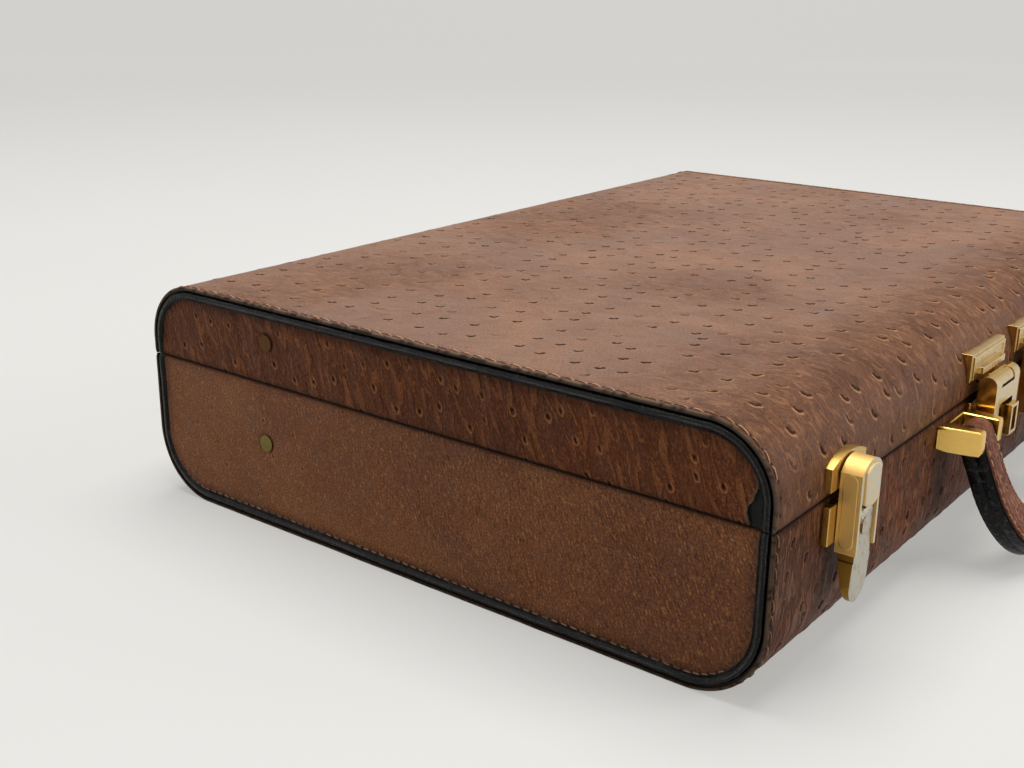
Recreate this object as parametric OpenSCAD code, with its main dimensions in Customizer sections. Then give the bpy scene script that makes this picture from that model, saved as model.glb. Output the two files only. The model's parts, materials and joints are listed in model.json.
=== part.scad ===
// Attache case with a leather-covered board shell, a piano hinge, two draw
// latches, two hasp locks, folding lid stays and a swinging handle.
// X runs along the case, the handle is on the -Y side and +Z is up.
// The origin is the middle of the underside.

/* [Case] */
// Length of the case over its edge rims
case_l = 452; // [430:1:500]
// Depth of the case from front to back over its rims
case_d = 330; // [300:1:360]
// Height of the closed case
case_h = 106; // [102:1:120]
// Height of the split between base and lid
seam_z = 69; // [66:0.5:72]
// Radius of the two upper long edges
top_r = 28; // [22:1:32]
// Radius of the two lower long edges
bottom_r = 32; // [26:1:36]
// Gap between the closed lid and the base
seam_gap = 0.4; // [0.3:0.1:1]

/* [Walls] */
// Thickness of the leather wrap
skin_t = 1.5; // [1:0.1:2]
// Thickness of the board shell
board_t = 4; // [3:0.5:5]
// Thickness of the inner lining
lining_t = 1; // [0.6:0.1:1.4]
// Thickness of the leather on the two ends
panel_t = 1.6; // [1.2:0.1:2]

/* [Edge rim] */
// Width of the black rim seen on an end
rim_w = 6; // [5:0.1:7]
// How far the rim stands out of the wrap
rim_proud = 0.8; // [0.5:0.1:1.2]
// How far the rim stands out of the end leather
rim_end_proud = 1.2; // [1:0.1:1.6]
// Width of the rim's outer ply
ply_w = 1.8; // [1.6:0.1:2.6]
// Width of the groove between the plies
groove_w = 0.4; // [0.3:0.1:0.8]

/* [Lid locating lip] */
// Thickness of the lip inside the base
lip_t = 1.5; // [1:0.1:2]
// How far the lip rises into the lid
lip_rise = 4.5; // [3:0.5:6]
// How far the lip reaches down inside the base
lip_drop = 12; // [8:1:18]
// Gap between the lip and the lid's lining
lip_gap = 0.5; // [0.4:0.1:0.8]

/* [Piano hinge] */
// Distance from the hinge's end to the end of the case
hinge_inset = 30; // [20:1:60]
// Nominal length of a knuckle
knuckle_l = 18; // [14:1:30]
// Outer radius of a knuckle
knuckle_r = 2.4; // [2.2:0.1:3]
// Radius of the hinge pin
hinge_pin_r = 1; // [0.8:0.1:1.2]
// Thickness of a hinge leaf
leaf_t = 0.8; // [0.6:0.1:1]
// Height of a hinge leaf
leaf_h = 14; // [10:1:20]
// Gap between neighbouring knuckles
knuckle_gap = 0.3; // [0.2:0.1:0.6]

/* [Lid stays] */
// Length between the centres of a stay arm
stay_r = 83.5; // [78:0.5:90]
// Depth of the base pivot below the split
stay_drop = 28.5; // [24:0.5:30]
// Depth of the lid pivot below the top of the case
stay_top = 17.8; // [16.8:0.2:22]
// Width of a stay arm
arm_w = 10; // [9:0.5:12]
// Thickness of a stay arm
arm_t = 1.5; // [1.2:0.1:1.8]
// Radius of a stay rivet's shank
rivet_r = 2; // [1.6:0.1:2.4]
// Radius of a rivet head seen outside
rivet_head_r = 3.9; // [3.4:0.1:4.6]
// Lid opening at which the elbow lugs stop the stays
lid_open = 105; // [95:1:110]

/* [Draw latches] */
// Distance from a latch's centre to the end of the case
latch_inset = 51.5; // [45:0.5:70]
// Width of the keeper and of the base plate
latch_w = 28.5; // [26:0.5:34]
// Height of the base plate
latch_plate_h = 15; // [13:0.5:17]
// Thickness of the base plate
latch_plate_t = 2.8; // [2:0.1:3]
// Height of the keeper
keeper_h = 12.4; // [10:0.2:14]
// Thickness of the keeper
keeper_t = 2.5; // [2:0.1:2.7]
// Width of the casing
casing_w = 17; // [16:0.5:20]
// Height of the casing
casing_h = 35.5; // [34:0.5:38]
// Depth of the casing
casing_d = 8.2; // [8:0.1:9]
// Wall of the casing
casing_t = 1.5; // [1.2:0.1:1.6]
// Length of the lever from its pivot to its tip
lever_l = 34.5; // [30:0.5:38]
// Width of the lever's tongue
tongue_w = 15; // [13.5:0.5:16]
// Distance from the lever's pivot to the casing's pin
crank_r = 10; // [9:0.5:11]
// Radius of the latch pins
latch_pin_r = 1.2; // [1:0.1:1.3]

/* [Hasp locks] */
// Distance from the case's middle to a lock's centre
lock_x = 29.5; // [28:0.5:30]
// Width of the plate on the lid
lock_plate_w = 41; // [36:0.5:42]
// Height of the plate on the lid
lock_plate_h = 12.5; // [11:0.5:14]
// Width of the hasp
hasp_w = 30; // [28:0.5:31]
// Length of the hasp below its pin
hasp_l = 28.5; // [26:0.5:30]
// Depth of the hasp from front to back
hasp_d = 8; // [7:0.5:9]
// Wall of the hasp
hasp_t = 1.5; // [1.2:0.1:1.6]
// Width of the slot in the front of the hasp
hasp_slot_w = 17; // [16.5:0.5:18]
// Radius of the hasp's pin
hasp_pin_r = 1.3; // [1:0.1:1.5]
// Width of the thumb piece
thumb_w = 8.6; // [7:0.2:9]
// Height of the thumb piece
thumb_h = 14; // [12:0.5:15]
// Travel of the thumb piece
thumb_travel = 6; // [4:0.5:6.5]

/* [Handle] */
// Distance between the centres of the two brackets
handle_pitch = 127; // [126:1:140]
// Height of a bracket
bracket_h = 10.9; // [9:0.1:12]
// How far a bracket stands out of the case
bracket_d = 18; // [17:0.5:20]
// Width of a bracket at the case
bracket_w = 33; // [31:0.5:33.5]
// Width of a bracket at its outer end
bracket_tip_w = 26; // [24:0.5:28]
// Width of the bracket's slot
bracket_slot_w = 16.2; // [15:0.2:17]
// Distance of the handle's pins from the case
handle_out = 10.8; // [10:0.2:12]
// Depth of the handle's pins below the split
handle_drop = 8; // [7.5:0.5:10]
// Radius of the handle's pins
handle_pin_r = 2; // [1.6:0.1:2.4]
// Distance from the pins to the grip's outer edge
handle_reach = 63.5; // [58:0.5:70]
// Thickness of the handle
handle_t = 12.5; // [11:0.5:13.5]
// Width of the grip
grip_w = 19; // [17:0.5:22]
// Outer corner radius of the handle
handle_corner_r = 42; // [34:1:44]
// Thickness of the handle's leather
handle_skin_t = 1.6; // [1.2:0.1:2]

/* [Document pocket] */
// Room between the pocket's panel and the lid
pocket_gap = 10; // [8:0.5:12]
// Thickness of the pocket's panel and gussets
pocket_t = 2; // [1.5:0.1:2.5]
// Depth of the pocket from front to back
pocket_d = 240; // [200:5:250]

/* [Hidden] */
$fn = 48;
LEATHER = [0.43, 0.26, 0.17];
LEATHER_DARK = [0.36, 0.21, 0.13];
EDGE_BLACK = [0.06, 0.055, 0.06];
BRASS = [0.80, 0.62, 0.27];
BRASS_DULL = [0.50, 0.42, 0.22];
SUEDE = [0.62, 0.47, 0.33];
BOARD = [0.30, 0.22, 0.15];

// Running clearance of a pin in a bore, and side clearance of moving pieces
run_gap = 0.06;
side_gap = 0.3;
// Overlap used only to cut cleanly through a face
cut = 1;

// Case outline and the stations along its length
wrap_y = case_d / 2 - rim_proud;
wrap_top = case_h - rim_proud;
rim_x = case_l / 2;
panel_x = rim_x - rim_end_proud;
board_x = panel_x - panel_t;
wrap_x = rim_x - 1.5;
base_top = seam_z - seam_gap / 2;
lid_bottom = seam_z + seam_gap / 2;
lining_in = skin_t + board_t;
inner_in = lining_in + lining_t;
inner_x = board_x - board_t - lining_t;

// Hinge axis, just behind the wrap and level with the split
hinge_y = wrap_y + 0.2 + knuckle_r;
hinge_half_l = rim_x - hinge_inset;
knuckle_n = 2 * floor(hinge_half_l / knuckle_l) + 1;
knuckle_pitch = 2 * hinge_half_l / knuckle_n;
hinge_bore_r = hinge_pin_r + run_gap;

// Stay pivots: equal distances from the hinge axis and equal arms make a rhombus
stay_rise = case_h - stay_top - seam_z;
stay_lid_y = hinge_y - sqrt(stay_r * stay_r - stay_rise * stay_rise);
stay_lid_z = seam_z + stay_rise;
stay_base_y = hinge_y - sqrt(stay_r * stay_r - stay_drop * stay_drop);
stay_base_z = seam_z - stay_drop;
elbow_y = stay_base_y + stay_lid_y - hinge_y;
elbow_z = stay_base_z + stay_lid_z - seam_z;
stay_lower_a = atan2(elbow_z - stay_base_z, elbow_y - stay_base_y);
stay_upper_a = atan2(stay_lid_z - elbow_z, stay_lid_y - elbow_y);
stay_bore_r = rivet_r + run_gap;
stay_head_t = 0.8;
stay_head_r = 3.4;
boss_r = 3.6;
lip_x = inner_x - lip_gap - lip_t;
arm_side_gap = 0.15;
// Faces of the two arms, counted inwards from the lip
lower_x1 = lip_x - side_gap - 0.6 - stay_head_t;
lower_x0 = lower_x1 - arm_t;
upper_x1 = lower_x0 - side_gap;
upper_x0 = upper_x1 - arm_t;

// Draw latch, measured outwards from the wrap and up from the split
latch_x = rim_x - latch_inset;
latch_plate_z = -2 - latch_plate_h;
keeper_z = 3.6;
keeper_rise = 3.4;
lever_out = 7;
lever_z = -7;
lever_r = 3.2;
lug_w = 5;
lug_r = 2.2;
lever_w = casing_w - 2 * casing_t - 0.4;
lever_bottom = lever_z - lever_l;
crank_z = lever_z - crank_r;
casing_out = max(keeper_t, latch_plate_t) + side_gap;
casing_front = casing_out + casing_d;
casing_z = crank_z - 3.5;
casing_rise = 4.7;
casing_lip_z = lever_z + lever_r + 0.8;
latch_bore_r = latch_pin_r + run_gap;
neck_z = crank_z - 7;

// Hasp lock, measured the same way
hasp_out = 7.8;
hasp_z = 7.5;
hasp_front = hasp_out + hasp_d / 2;
hasp_back = hasp_out - hasp_d / 2;
hasp_bottom = hasp_z - hasp_l;
hasp_bore_r = hasp_pin_r + run_gap;
lock_plate_z = hasp_z + 1.5;
lock_plate_t = 2.6;
lock_knuckle_w = 16;
lock_base_w = 34;
lock_base_t = 2;
lock_base_top = -1;
lock_block_w = hasp_w - 2 * hasp_t - 1.2;
lock_block_top = hasp_z - 10.2;
lock_block_h = 15;
lock_block_z = lock_block_top - lock_block_h;
lock_block_front = hasp_front - hasp_t - 1;
slide_foot_w = 11;
slide_foot_h = 11;
slide_foot_t = 2.4;
slide_neck_h = 7.5;
slide_gap = 0.2;
slide_z = lock_block_z + lock_block_h / 2;
slide_out = lock_block_front - 2.2 - slide_foot_t;
thumb_out = hasp_front + 3.5;
slide_rest = thumb_travel / 2;

// Handle: it leans out until it nearly touches the ground
pivot_z = seam_z - handle_drop;
pivot_y = -(wrap_y + handle_out);
ground_gap = 0.1;
handle_diag = norm([handle_reach, handle_t / 2]);
handle_lean = atan2(handle_t / 2, handle_reach) + acos(min(1, (pivot_z - ground_gap) / handle_diag));
bracket_back_t = 2.5;
leg_w = bracket_slot_w - 2 * side_gap;
handle_half_w = handle_pitch / 2 + leg_w / 2;
handle_inner_r = handle_corner_r - 14;
edge_step = 0.5;
// The legs run this far past the pivot line, so that they join the round eyes
eye_joint = 0.2;
bush_t = 1.1;

// Cross-section of the case, moved in from the wrap's outer face; drawn in Y and Z
module outline(inset) {
    w = wrap_y - inset;
    lo = inset;
    hi = wrap_top - inset;
    rt = top_r - inset;
    rb = bottom_r - inset;
    strip2d(2 * w, lo + rb, hi - rt);
    strip2d(2 * (w - rt), (lo + hi) / 2, hi);
    strip2d(2 * (w - rb), lo, (lo + hi) / 2);
    for (s = [-1, 1]) {
        translate([s * (w - rt), hi - rt]) circle(rt);
        translate([s * (w - rb), lo + rb]) circle(rb);
    }
}

// Runs a Y-Z drawing along X from x0 to x1
module along_x(x0, x1) {
    translate([x0, 0, 0]) rotate([90, 0, 90]) linear_extrude(x1 - x0) children();
}

// Runs an X-Z drawing outwards, to -Y, from out0 to out1
module outwards(out0, out1) {
    translate([0, -out0, 0]) rotate([90, 0, 0]) linear_extrude(out1 - out0) children();
}

// Round bar along X through the point y, z
module bar_x(r, x0, x1, y, z) {
    translate([x0, y, z]) rotate([0, 90, 0]) cylinder(r = r, h = x1 - x0);
}

// Solid of the cross-section between two heights
module slab(inset, x0, x1, z0, z1) {
    along_x(x0, x1) intersection() {
        outline(inset);
        translate([-case_d, z0]) square([2 * case_d, z1 - z0]);
    }
}

// Skin between two insets of the cross-section, between two heights
module band(outer, inner, x0, x1, z0, z1) {
    along_x(x0, x1) intersection() {
        difference() {
            outline(outer);
            outline(inner);
        }
        translate([-case_d, z0]) square([2 * case_d, z1 - z0]);
    }
}

// Mirrors its children to the left side when s is -1
module on_side(s) {
    if (s < 0) mirror([1, 0, 0]) children();
    else children();
}

// Puts its children on the front face, at x along it and level with the split
module at_front(x) {
    translate([x, -wrap_y, seam_z]) children();
}

// Cuts the case's own body out of a fitting, so that it seats on the leather
module seated() {
    difference() {
        children();
        slab(0, -wrap_x, wrap_x, 0, case_h);
    }
}

// Rectangle centred in X, from z0 up to z1
module strip2d(w, z0, z1) {
    translate([-w / 2, z0]) square([w, z1 - z0]);
}

// Upright plate with an arched top
module arch2d(w, h, rise) {
    r = (w * w / 4 + rise * rise) / (2 * rise);
    intersection() {
        strip2d(w, 0, h);
        union() {
            strip2d(w, 0, h - rise - 0.5);
            translate([0, h - r]) circle(r);
        }
    }
}

// Upright slot shape, h tall over its round ends
module pill2d(w, h) {
    strip2d(w, -(h - w) / 2, (h - w) / 2);
    for (s = [-1, 1]) translate([0, s * (h - w) / 2]) circle(w / 2);
}

// Holes for the two rivets of a stay through both ends of the case
module rivet_holes(y, z) {
    for (s = [-1, 1]) on_side(s) bar_x(rivet_r, inner_x - cut, rim_x + cut, y, z);
}

// Board tray of the base or the lid, hollow inside
module board(z0, z1, cavity_z0, cavity_z1) {
    difference() {
        slab(skin_t, -board_x, board_x, z0, z1);
        slab(lining_in, -board_x + board_t, board_x - board_t, cavity_z0, cavity_z1);
    }
}

// Lining skin inside the board
module lining(z0, z1, cavity_z0, cavity_z1) {
    difference() {
        slab(lining_in, -board_x + board_t, board_x - board_t, z0, z1);
        slab(inner_in, -inner_x, inner_x, cavity_z0, cavity_z1);
    }
}

// Two-ply black rim round the end at +X
module rim(z0, z1) {
    band(skin_t, rim_w, board_x, rim_x - 0.8, z0, z1);
    band(-rim_proud, ply_w, wrap_x, rim_x, z0, z1);
    band(ply_w + groove_w, rim_w, wrap_x, rim_x - 0.2, z0, z1);
}

module base_shell() {
    color(BOARD) difference() {
        board(0, base_top, 0, base_top + cut);
        rivet_holes(stay_base_y, stay_base_z);
    }
}

module base_wrap() {
    color(LEATHER) band(0, skin_t, -wrap_x, wrap_x, 0, base_top);
}

module base_end(s) {
    color(LEATHER_DARK) difference() {
        on_side(s) slab(rim_w, board_x, panel_x, 0, base_top);
        rivet_holes(stay_base_y, stay_base_z);
    }
}

module base_rim(s) {
    color(EDGE_BLACK) on_side(s) rim(0, base_top);
}

module base_lining() {
    color(SUEDE) difference() {
        lining(0, base_top, 0, base_top + cut);
        rivet_holes(stay_base_y, stay_base_z);
    }
}

// Strip inside the front and the two ends, which guides the lid as it closes; a spacer seats it on the lining
module base_lip() {
    front = wrap_y - inner_in;
    y1 = wrap_y - bottom_r;
    z0 = seam_z - lip_drop;
    color(SUEDE) {
        lip_strips(inner_in, lip_gap, front, y1, z0, base_top);
        lip_strips(inner_in + lip_gap, lip_t, front - lip_gap, y1, z0, seam_z + lip_rise);
    }
}

// Front and end strips, t thick, whose outer faces follow the cross-section at the given inset
module lip_strips(inset, t, front, y1, z0, z1) {
    x = inner_x - inset + inner_in;
    intersection() {
        difference() {
            slab(inset, -x, x, z0, z1);
            translate([-x + t, -front + t, z0 - cut]) cube([2 * (x - t), 2 * case_d, z1 - z0 + 2 * cut]);
        }
        translate([-case_l, y1 - 2 * case_d, 0]) cube([2 * case_l, 2 * case_d, case_h]);
    }
}

module lid_shell() {
    color(BOARD) difference() {
        board(lid_bottom, case_h, lid_bottom - cut, case_h);
        rivet_holes(stay_lid_y, stay_lid_z);
    }
}

module lid_wrap() {
    color(LEATHER) band(0, skin_t, -wrap_x, wrap_x, lid_bottom, case_h);
}

module lid_end(s) {
    color(LEATHER_DARK) difference() {
        on_side(s) slab(rim_w, board_x, panel_x, lid_bottom, case_h);
        rivet_holes(stay_lid_y, stay_lid_z);
    }
}

module lid_rim(s) {
    color(EDGE_BLACK) on_side(s) rim(lid_bottom, case_h);
}

module lid_lining() {
    color(SUEDE) difference() {
        lining(lid_bottom, case_h, lid_bottom - cut, case_h);
        rivet_holes(stay_lid_y, stay_lid_z);
    }
}

// Flat document pocket on the lid's lining, open towards the front
module lid_pocket() {
    ceiling = wrap_top - inner_in;
    panel_z = ceiling - pocket_gap - pocket_t;
    w = 2 * (inner_x - 26);
    color(SUEDE) {
        translate([-w / 2, -pocket_d / 2, panel_z]) cube([w, pocket_d, pocket_t]);
        translate([-w / 2, pocket_d / 2 - pocket_t, panel_z]) cube([w, pocket_t, ceiling - panel_z]);
        for (s = [-1, 1]) on_side(s)
            translate([w / 2 - pocket_t, -pocket_d / 2, panel_z])
                cube([pocket_t, pocket_d, ceiling - panel_z]);
    }
}

// One leaf of the piano hinge; first is 0 for the base and 1 for the lid, up is its direction
module hinge_leaf(first, up) {
    clear_r = knuckle_r + 0.6;
    difference() {
        union() {
            translate([-hinge_half_l, wrap_y, seam_z + (up > 0 ? clear_r : -leaf_h)])
                cube([2 * hinge_half_l, leaf_t, leaf_h - clear_r]);
            for (i = [first:2:knuckle_n - 1]) {
                x0 = -hinge_half_l + i * knuckle_pitch + knuckle_gap / 2;
                x1 = x0 + knuckle_pitch - knuckle_gap;
                translate([x0, wrap_y, seam_z + (up > 0 ? 0 : -clear_r)])
                    cube([x1 - x0, leaf_t, clear_r]);
                bar_x(knuckle_r, x0, x1, hinge_y, seam_z);
            }
        }
        bar_x(hinge_bore_r, -rim_x, rim_x, hinge_y, seam_z);
    }
}

module hinge_base_leaf() {
    color(BRASS) hinge_leaf(0, -1);
}

module hinge_lid_leaf() {
    color(BRASS) hinge_leaf(1, 1);
}

// Pin with a head seated on each end knuckle
module hinge_pin() {
    end_x = hinge_half_l - knuckle_gap / 2;
    color(BRASS_DULL) {
        bar_x(hinge_pin_r, -end_x, end_x, hinge_y, seam_z);
        for (s = [-1, 1]) on_side(s) bar_x(hinge_pin_r + 0.7, end_x, end_x + 0.8, hinge_y, seam_z);
    }
}

module latch_keeper(s) {
    color(BRASS) seated() at_front(s * latch_x)
        outwards(-bottom_r / 4, keeper_t) translate([0, keeper_z]) arch2d(latch_w, keeper_h, keeper_rise);
}

// Plate on the base with a round-ended lug that carries the lever
module latch_base(s) {
    color(BRASS) seated() at_front(s * latch_x) difference() {
        union() {
            outwards(-bottom_r / 4, latch_plate_t)
                strip2d(latch_w, latch_plate_z, latch_plate_z + latch_plate_h);
            along_x(-lug_w / 2, lug_w / 2) {
                translate([-lever_out, lever_z - lug_r]) square([lever_out, 2 * lug_r]);
                translate([-lever_out, lever_z]) circle(lug_r);
            }
        }
        bar_x(latch_pin_r, -lug_w, lug_w, -lever_out, lever_z);
    }
}

module latch_pivot_pins() {
    color(BRASS_DULL) for (s = [-1, 1]) at_front(s * latch_x)
        bar_x(latch_pin_r, -lever_w / 2, lever_w / 2, -lever_out, lever_z);
}

// Side view of the lever: a round eye, a straight shank and a tapering tongue
module lever_side2d() {
    y0 = -(lever_out + lever_r);
    y1 = -(lever_out - lever_r);
    translate([-lever_out, lever_z]) circle(lever_r);
    polygon([[y0, lever_z], [y0, neck_z], [y0 + 0.8, lever_bottom], [y0 + 2.4, lever_bottom],
             [y1 - 0.4, neck_z], [y1, neck_z + 2], [y1, lever_z]]);
}

// Front view of the lever: a shank between the cheeks and a wider round-ended tongue
module lever_front2d() {
    tip_r = tongue_w / 2;
    strip2d(lever_w, neck_z - cut, lever_z + lever_r + cut);
    strip2d(tongue_w, lever_bottom + tip_r, neck_z);
    translate([0, lever_bottom + tip_r]) circle(tip_r);
}

module latch_lever(s) {
    slot_front = lever_out + lug_r + side_gap;
    color(BRASS) at_front(s * latch_x) {
        difference() {
            intersection() {
                along_x(-tongue_w / 2, tongue_w / 2) lever_side2d();
                outwards(0, casing_front) lever_front2d();
            }
            outwards(0, slot_front) strip2d(lug_w + 2 * side_gap, lever_z - lug_r - 2, lever_z + lever_r + cut);
            bar_x(latch_bore_r, -lever_w, lever_w, -lever_out, lever_z);
            bar_x(latch_pin_r, -lever_w, lever_w, -lever_out, crank_z);
        }
        outwards(lever_out + lever_r - 0.2, lever_out + lever_r + 0.9)
            translate([-1.6, lever_z - 3.4]) pill2d(4.4, 6.6);
    }
}

module latch_crank_pin(s) {
    color(BRASS_DULL) at_front(s * latch_x)
        bar_x(latch_pin_r, -casing_w / 2, casing_w / 2, -lever_out, crank_z);
}

// Arched hood with two cheeks; its front plate ends in a curve above the lever
module latch_casing(s) {
    inner_w = casing_w - 2 * casing_t;
    front_rise = 3;
    front_r = (inner_w * inner_w / 4 + front_rise * front_rise) / (2 * front_rise);
    color(BRASS) at_front(s * latch_x) difference() {
        outwards(casing_out, casing_front) translate([0, casing_z]) arch2d(casing_w, casing_h, casing_rise);
        outwards(casing_out - cut, casing_front - casing_t) translate([0, casing_z - cut])
            arch2d(inner_w, casing_h - casing_t + cut, casing_rise);
        outwards(casing_out, casing_front + cut) difference() {
            strip2d(inner_w, casing_z - cut, casing_lip_z + front_rise);
            translate([0, casing_lip_z + front_r]) circle(front_r);
        }
        bar_x(latch_bore_r, -casing_w, casing_w, -lever_out, crank_z);
        for (side = [-1, 1]) on_side(side) along_x(casing_w / 2 - 0.3, casing_w)
            translate([-(casing_out + casing_front) / 2, casing_z + casing_h / 2 - 0.5])
                pill2d(casing_d - 2.4, casing_h - 9);
    }
}

// Bevelled plate on the lid with a raised bar and the middle knuckle of the hasp's hinge
module lock_plate(s) {
    bevel = 1;
    face_w = lock_plate_w - 2 * bevel;
    color(BRASS) seated() at_front(s * lock_x) difference() {
        union() {
            outwards(-bottom_r / 4, lock_plate_t - bevel)
                strip2d(lock_plate_w, lock_plate_z, lock_plate_z + lock_plate_h);
            outwards(0, lock_plate_t)
                strip2d(face_w, lock_plate_z + bevel, lock_plate_z + lock_plate_h - bevel);
            outwards(0, lock_plate_t + 2.2)
                strip2d(hasp_w - 2, hasp_z + hasp_d / 2 + 0.6, hasp_z + hasp_d / 2 + 3.6);
            along_x(-lock_knuckle_w / 2, lock_knuckle_w / 2) {
                translate([-hasp_out, hasp_z]) circle(hasp_d / 2 - 0.4);
                translate([-hasp_out, hasp_z - 0.4]) square([hasp_out, hasp_d / 2]);
            }
        }
        outwards(lock_plate_t - 0.6, lock_plate_t + cut)
            strip2d(face_w - 3, hasp_z + hasp_d / 2 + 3.6, lock_plate_z + lock_plate_h - bevel - 1.4);
        bar_x(hasp_pin_r, -lock_plate_w, lock_plate_w, -hasp_out, hasp_z);
    }
}

module lock_hinge_pins() {
    color(BRASS_DULL) for (s = [-1, 1]) at_front(s * lock_x)
        bar_x(hasp_pin_r, -hasp_w / 2 - 0.3, hasp_w / 2 + 0.3, -hasp_out, hasp_z);
}

// Folded hasp with two cheeks and a fork front, open below so that it lifts off the lock
module hasp(s) {
    inner_w = hasp_w - 2 * hasp_t;
    knuckle_end = lock_knuckle_w / 2 + side_gap;
    color(BRASS) at_front(s * lock_x) difference() {
        along_x(-hasp_w / 2, hasp_w / 2) {
            translate([-hasp_out, hasp_z]) circle(hasp_d / 2);
            translate([-hasp_front, hasp_bottom]) square([hasp_d, hasp_l]);
        }
        along_x(-inner_w / 2, inner_w / 2)
            translate([-(hasp_front - hasp_t), hasp_bottom - cut]) square([hasp_d, hasp_l - hasp_d / 2 + cut]);
        outwards(0, hasp_front + cut) strip2d(hasp_slot_w, hasp_bottom - cut, lock_block_top + 1);
        along_x(-knuckle_end, knuckle_end)
            translate([-hasp_out, hasp_z]) circle(hasp_d / 2 + side_gap);
        bar_x(hasp_bore_r, -hasp_w, hasp_w, -hasp_out, hasp_z);
    }
}

// Lock block on a plate, with a T-slot for the thumb slide
module lock_body(s) {
    track_w = slide_foot_w + thumb_travel + 2 * slide_gap;
    color(BRASS) seated() at_front(s * lock_x) difference() {
        union() {
            outwards(-bottom_r / 4, lock_base_t)
                strip2d(lock_base_w, lock_block_z - 1, lock_base_top);
            outwards(0, lock_block_front) strip2d(lock_block_w, lock_block_z, lock_block_top);
        }
        outwards(slide_out - slide_gap, slide_out + slide_foot_t + slide_gap)
            strip2d(track_w, slide_z - slide_foot_h / 2 - slide_gap, slide_z + slide_foot_h / 2 + slide_gap);
        outwards(slide_out, lock_block_front + cut)
            strip2d(track_w, slide_z - slide_neck_h / 2 - slide_gap, slide_z + slide_neck_h / 2 + slide_gap);
    }
}

// Thumb slide: foot in the T-slot, neck, and a framed finger piece; it rests near the middle
module lock_slide(s) {
    thumb_z = slide_z - thumb_h / 2;
    frame_t = 1.6;
    color(BRASS) at_front(s * (lock_x - slide_rest)) {
        outwards(slide_out, slide_out + slide_foot_t)
            strip2d(slide_foot_w, slide_z - slide_foot_h / 2, slide_z + slide_foot_h / 2);
        outwards(slide_out, hasp_front - 0.6)
            strip2d(thumb_w - 1, slide_z - slide_neck_h / 2, slide_z + slide_neck_h / 2);
        difference() {
            outwards(lock_block_front + slide_gap, thumb_out) strip2d(thumb_w, thumb_z, thumb_z + thumb_h);
            outwards(hasp_front, thumb_out + cut)
                strip2d(thumb_w - 2 * frame_t, thumb_z + frame_t, thumb_z + thumb_h - frame_t);
        }
    }
}

// Forked bracket: a trapezium in plan, bevelled all round, with a slot for the handle's leg
module handle_bracket(s) {
    h = bracket_h / 2;
    w = bracket_w / 2;
    tip = bracket_tip_w / 2;
    bevel = 1;
    back = bottom_r / 4;
    color(BRASS) seated() at_front(s * handle_pitch / 2) translate([0, 0, -handle_drop]) difference() {
        intersection() {
            translate([0, 0, -h]) linear_extrude(2 * h)
                polygon([[-w, back], [-w, 0], [-tip, -bracket_d], [tip, -bracket_d], [w, 0], [w, back]]);
            along_x(-w, w)
                polygon([[back, -h], [-bracket_d + bevel, -h], [-bracket_d, -h + bevel],
                         [-bracket_d, h - bevel], [-bracket_d + bevel, h], [back, h]]);
            outwards(-back, bracket_d)
                polygon([[-w, bevel - h], [bevel - w, -h], [w - bevel, -h], [w, bevel - h],
                         [w, h - bevel], [w - bevel, h], [bevel - w, h], [-w, h - bevel]]);
        }
        outwards(bracket_back_t, bracket_d + cut) strip2d(bracket_slot_w, -h - cut, h + cut);
        bar_x(handle_pin_r, -bracket_w, bracket_w, -handle_out, 0);
    }
}

// Half width of a bracket where its pin passes
bracket_pin_w = bracket_w / 2 - (bracket_w - bracket_tip_w) / 2 * handle_out / bracket_d;

module handle_pins() {
    color(BRASS_DULL) for (s = [-1, 1]) at_front(s * handle_pitch / 2)
        bar_x(handle_pin_r, -bracket_pin_w, bracket_pin_w, -handle_out, -handle_drop);
}

// Deep U with round lower corners, its open side just above z = 0
module u2d(half_w, depth, r) {
    strip2d(2 * half_w, r - depth, eye_joint);
    intersection() {
        union() {
            strip2d(2 * (half_w - r), -depth, 0);
            for (s = [-1, 1]) translate([s * (half_w - r), r - depth]) circle(r);
        }
        strip2d(2 * half_w, -depth, eye_joint);
    }
}

// C-shaped outline of the handle, narrowed all round by step
module handle2d(step) {
    inner_w = handle_half_w - leg_w + step;
    difference() {
        u2d(handle_half_w - step, handle_reach - step, handle_corner_r - step);
        u2d(inner_w, handle_reach - grip_w + step, handle_inner_r + step);
        strip2d(2 * inner_w, -cut, cut);
    }
}

// Round eyes of radius r at the top of the two legs, on the pivot line
module handle_eyes(r, step) {
    for (s = [-1, 1])
        bar_x(r, s * handle_pitch / 2 - leg_w / 2 + step, s * handle_pitch / 2 + leg_w / 2 - step, 0, 0);
}

module in_handle() {
    translate([0, pivot_y, pivot_z]) rotate([-handle_lean, 0, 0]) children();
}

module handle_core() {
    t = handle_t - 2 * handle_skin_t;
    color(EDGE_BLACK) in_handle() difference() {
        union() {
            outwards(-t / 2, t / 2) handle2d(0);
            handle_eyes(t / 2, 0);
        }
        bar_x(handle_pin_r + bush_t, -handle_half_w - cut, handle_half_w + cut, 0, 0);
    }
}

// Turns its children, made for the -Y side, to the side s
module facing(s) {
    if (s > 0) mirror([0, 1, 0]) children();
    else children();
}

// Leather strip on one face of the handle, wrapped half round the eyes; s is the side along Y
module handle_leather(s) {
    core_r = handle_t / 2 - handle_skin_t;
    color(LEATHER) in_handle() facing(s) {
        outwards(core_r, handle_t / 2) handle2d(edge_step);
        difference() {
            handle_eyes(handle_t / 2, edge_step);
            bar_x(core_r, -handle_half_w - cut, handle_half_w + cut, 0, 0);
            translate([-handle_half_w - cut, 0, -handle_t]) cube([2 * (handle_half_w + cut), handle_t, 2 * handle_t]);
            translate([-handle_half_w - cut, -handle_t, -handle_t])
                cube([2 * (handle_half_w + cut), handle_t, handle_t]);
        }
    }
}

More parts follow.
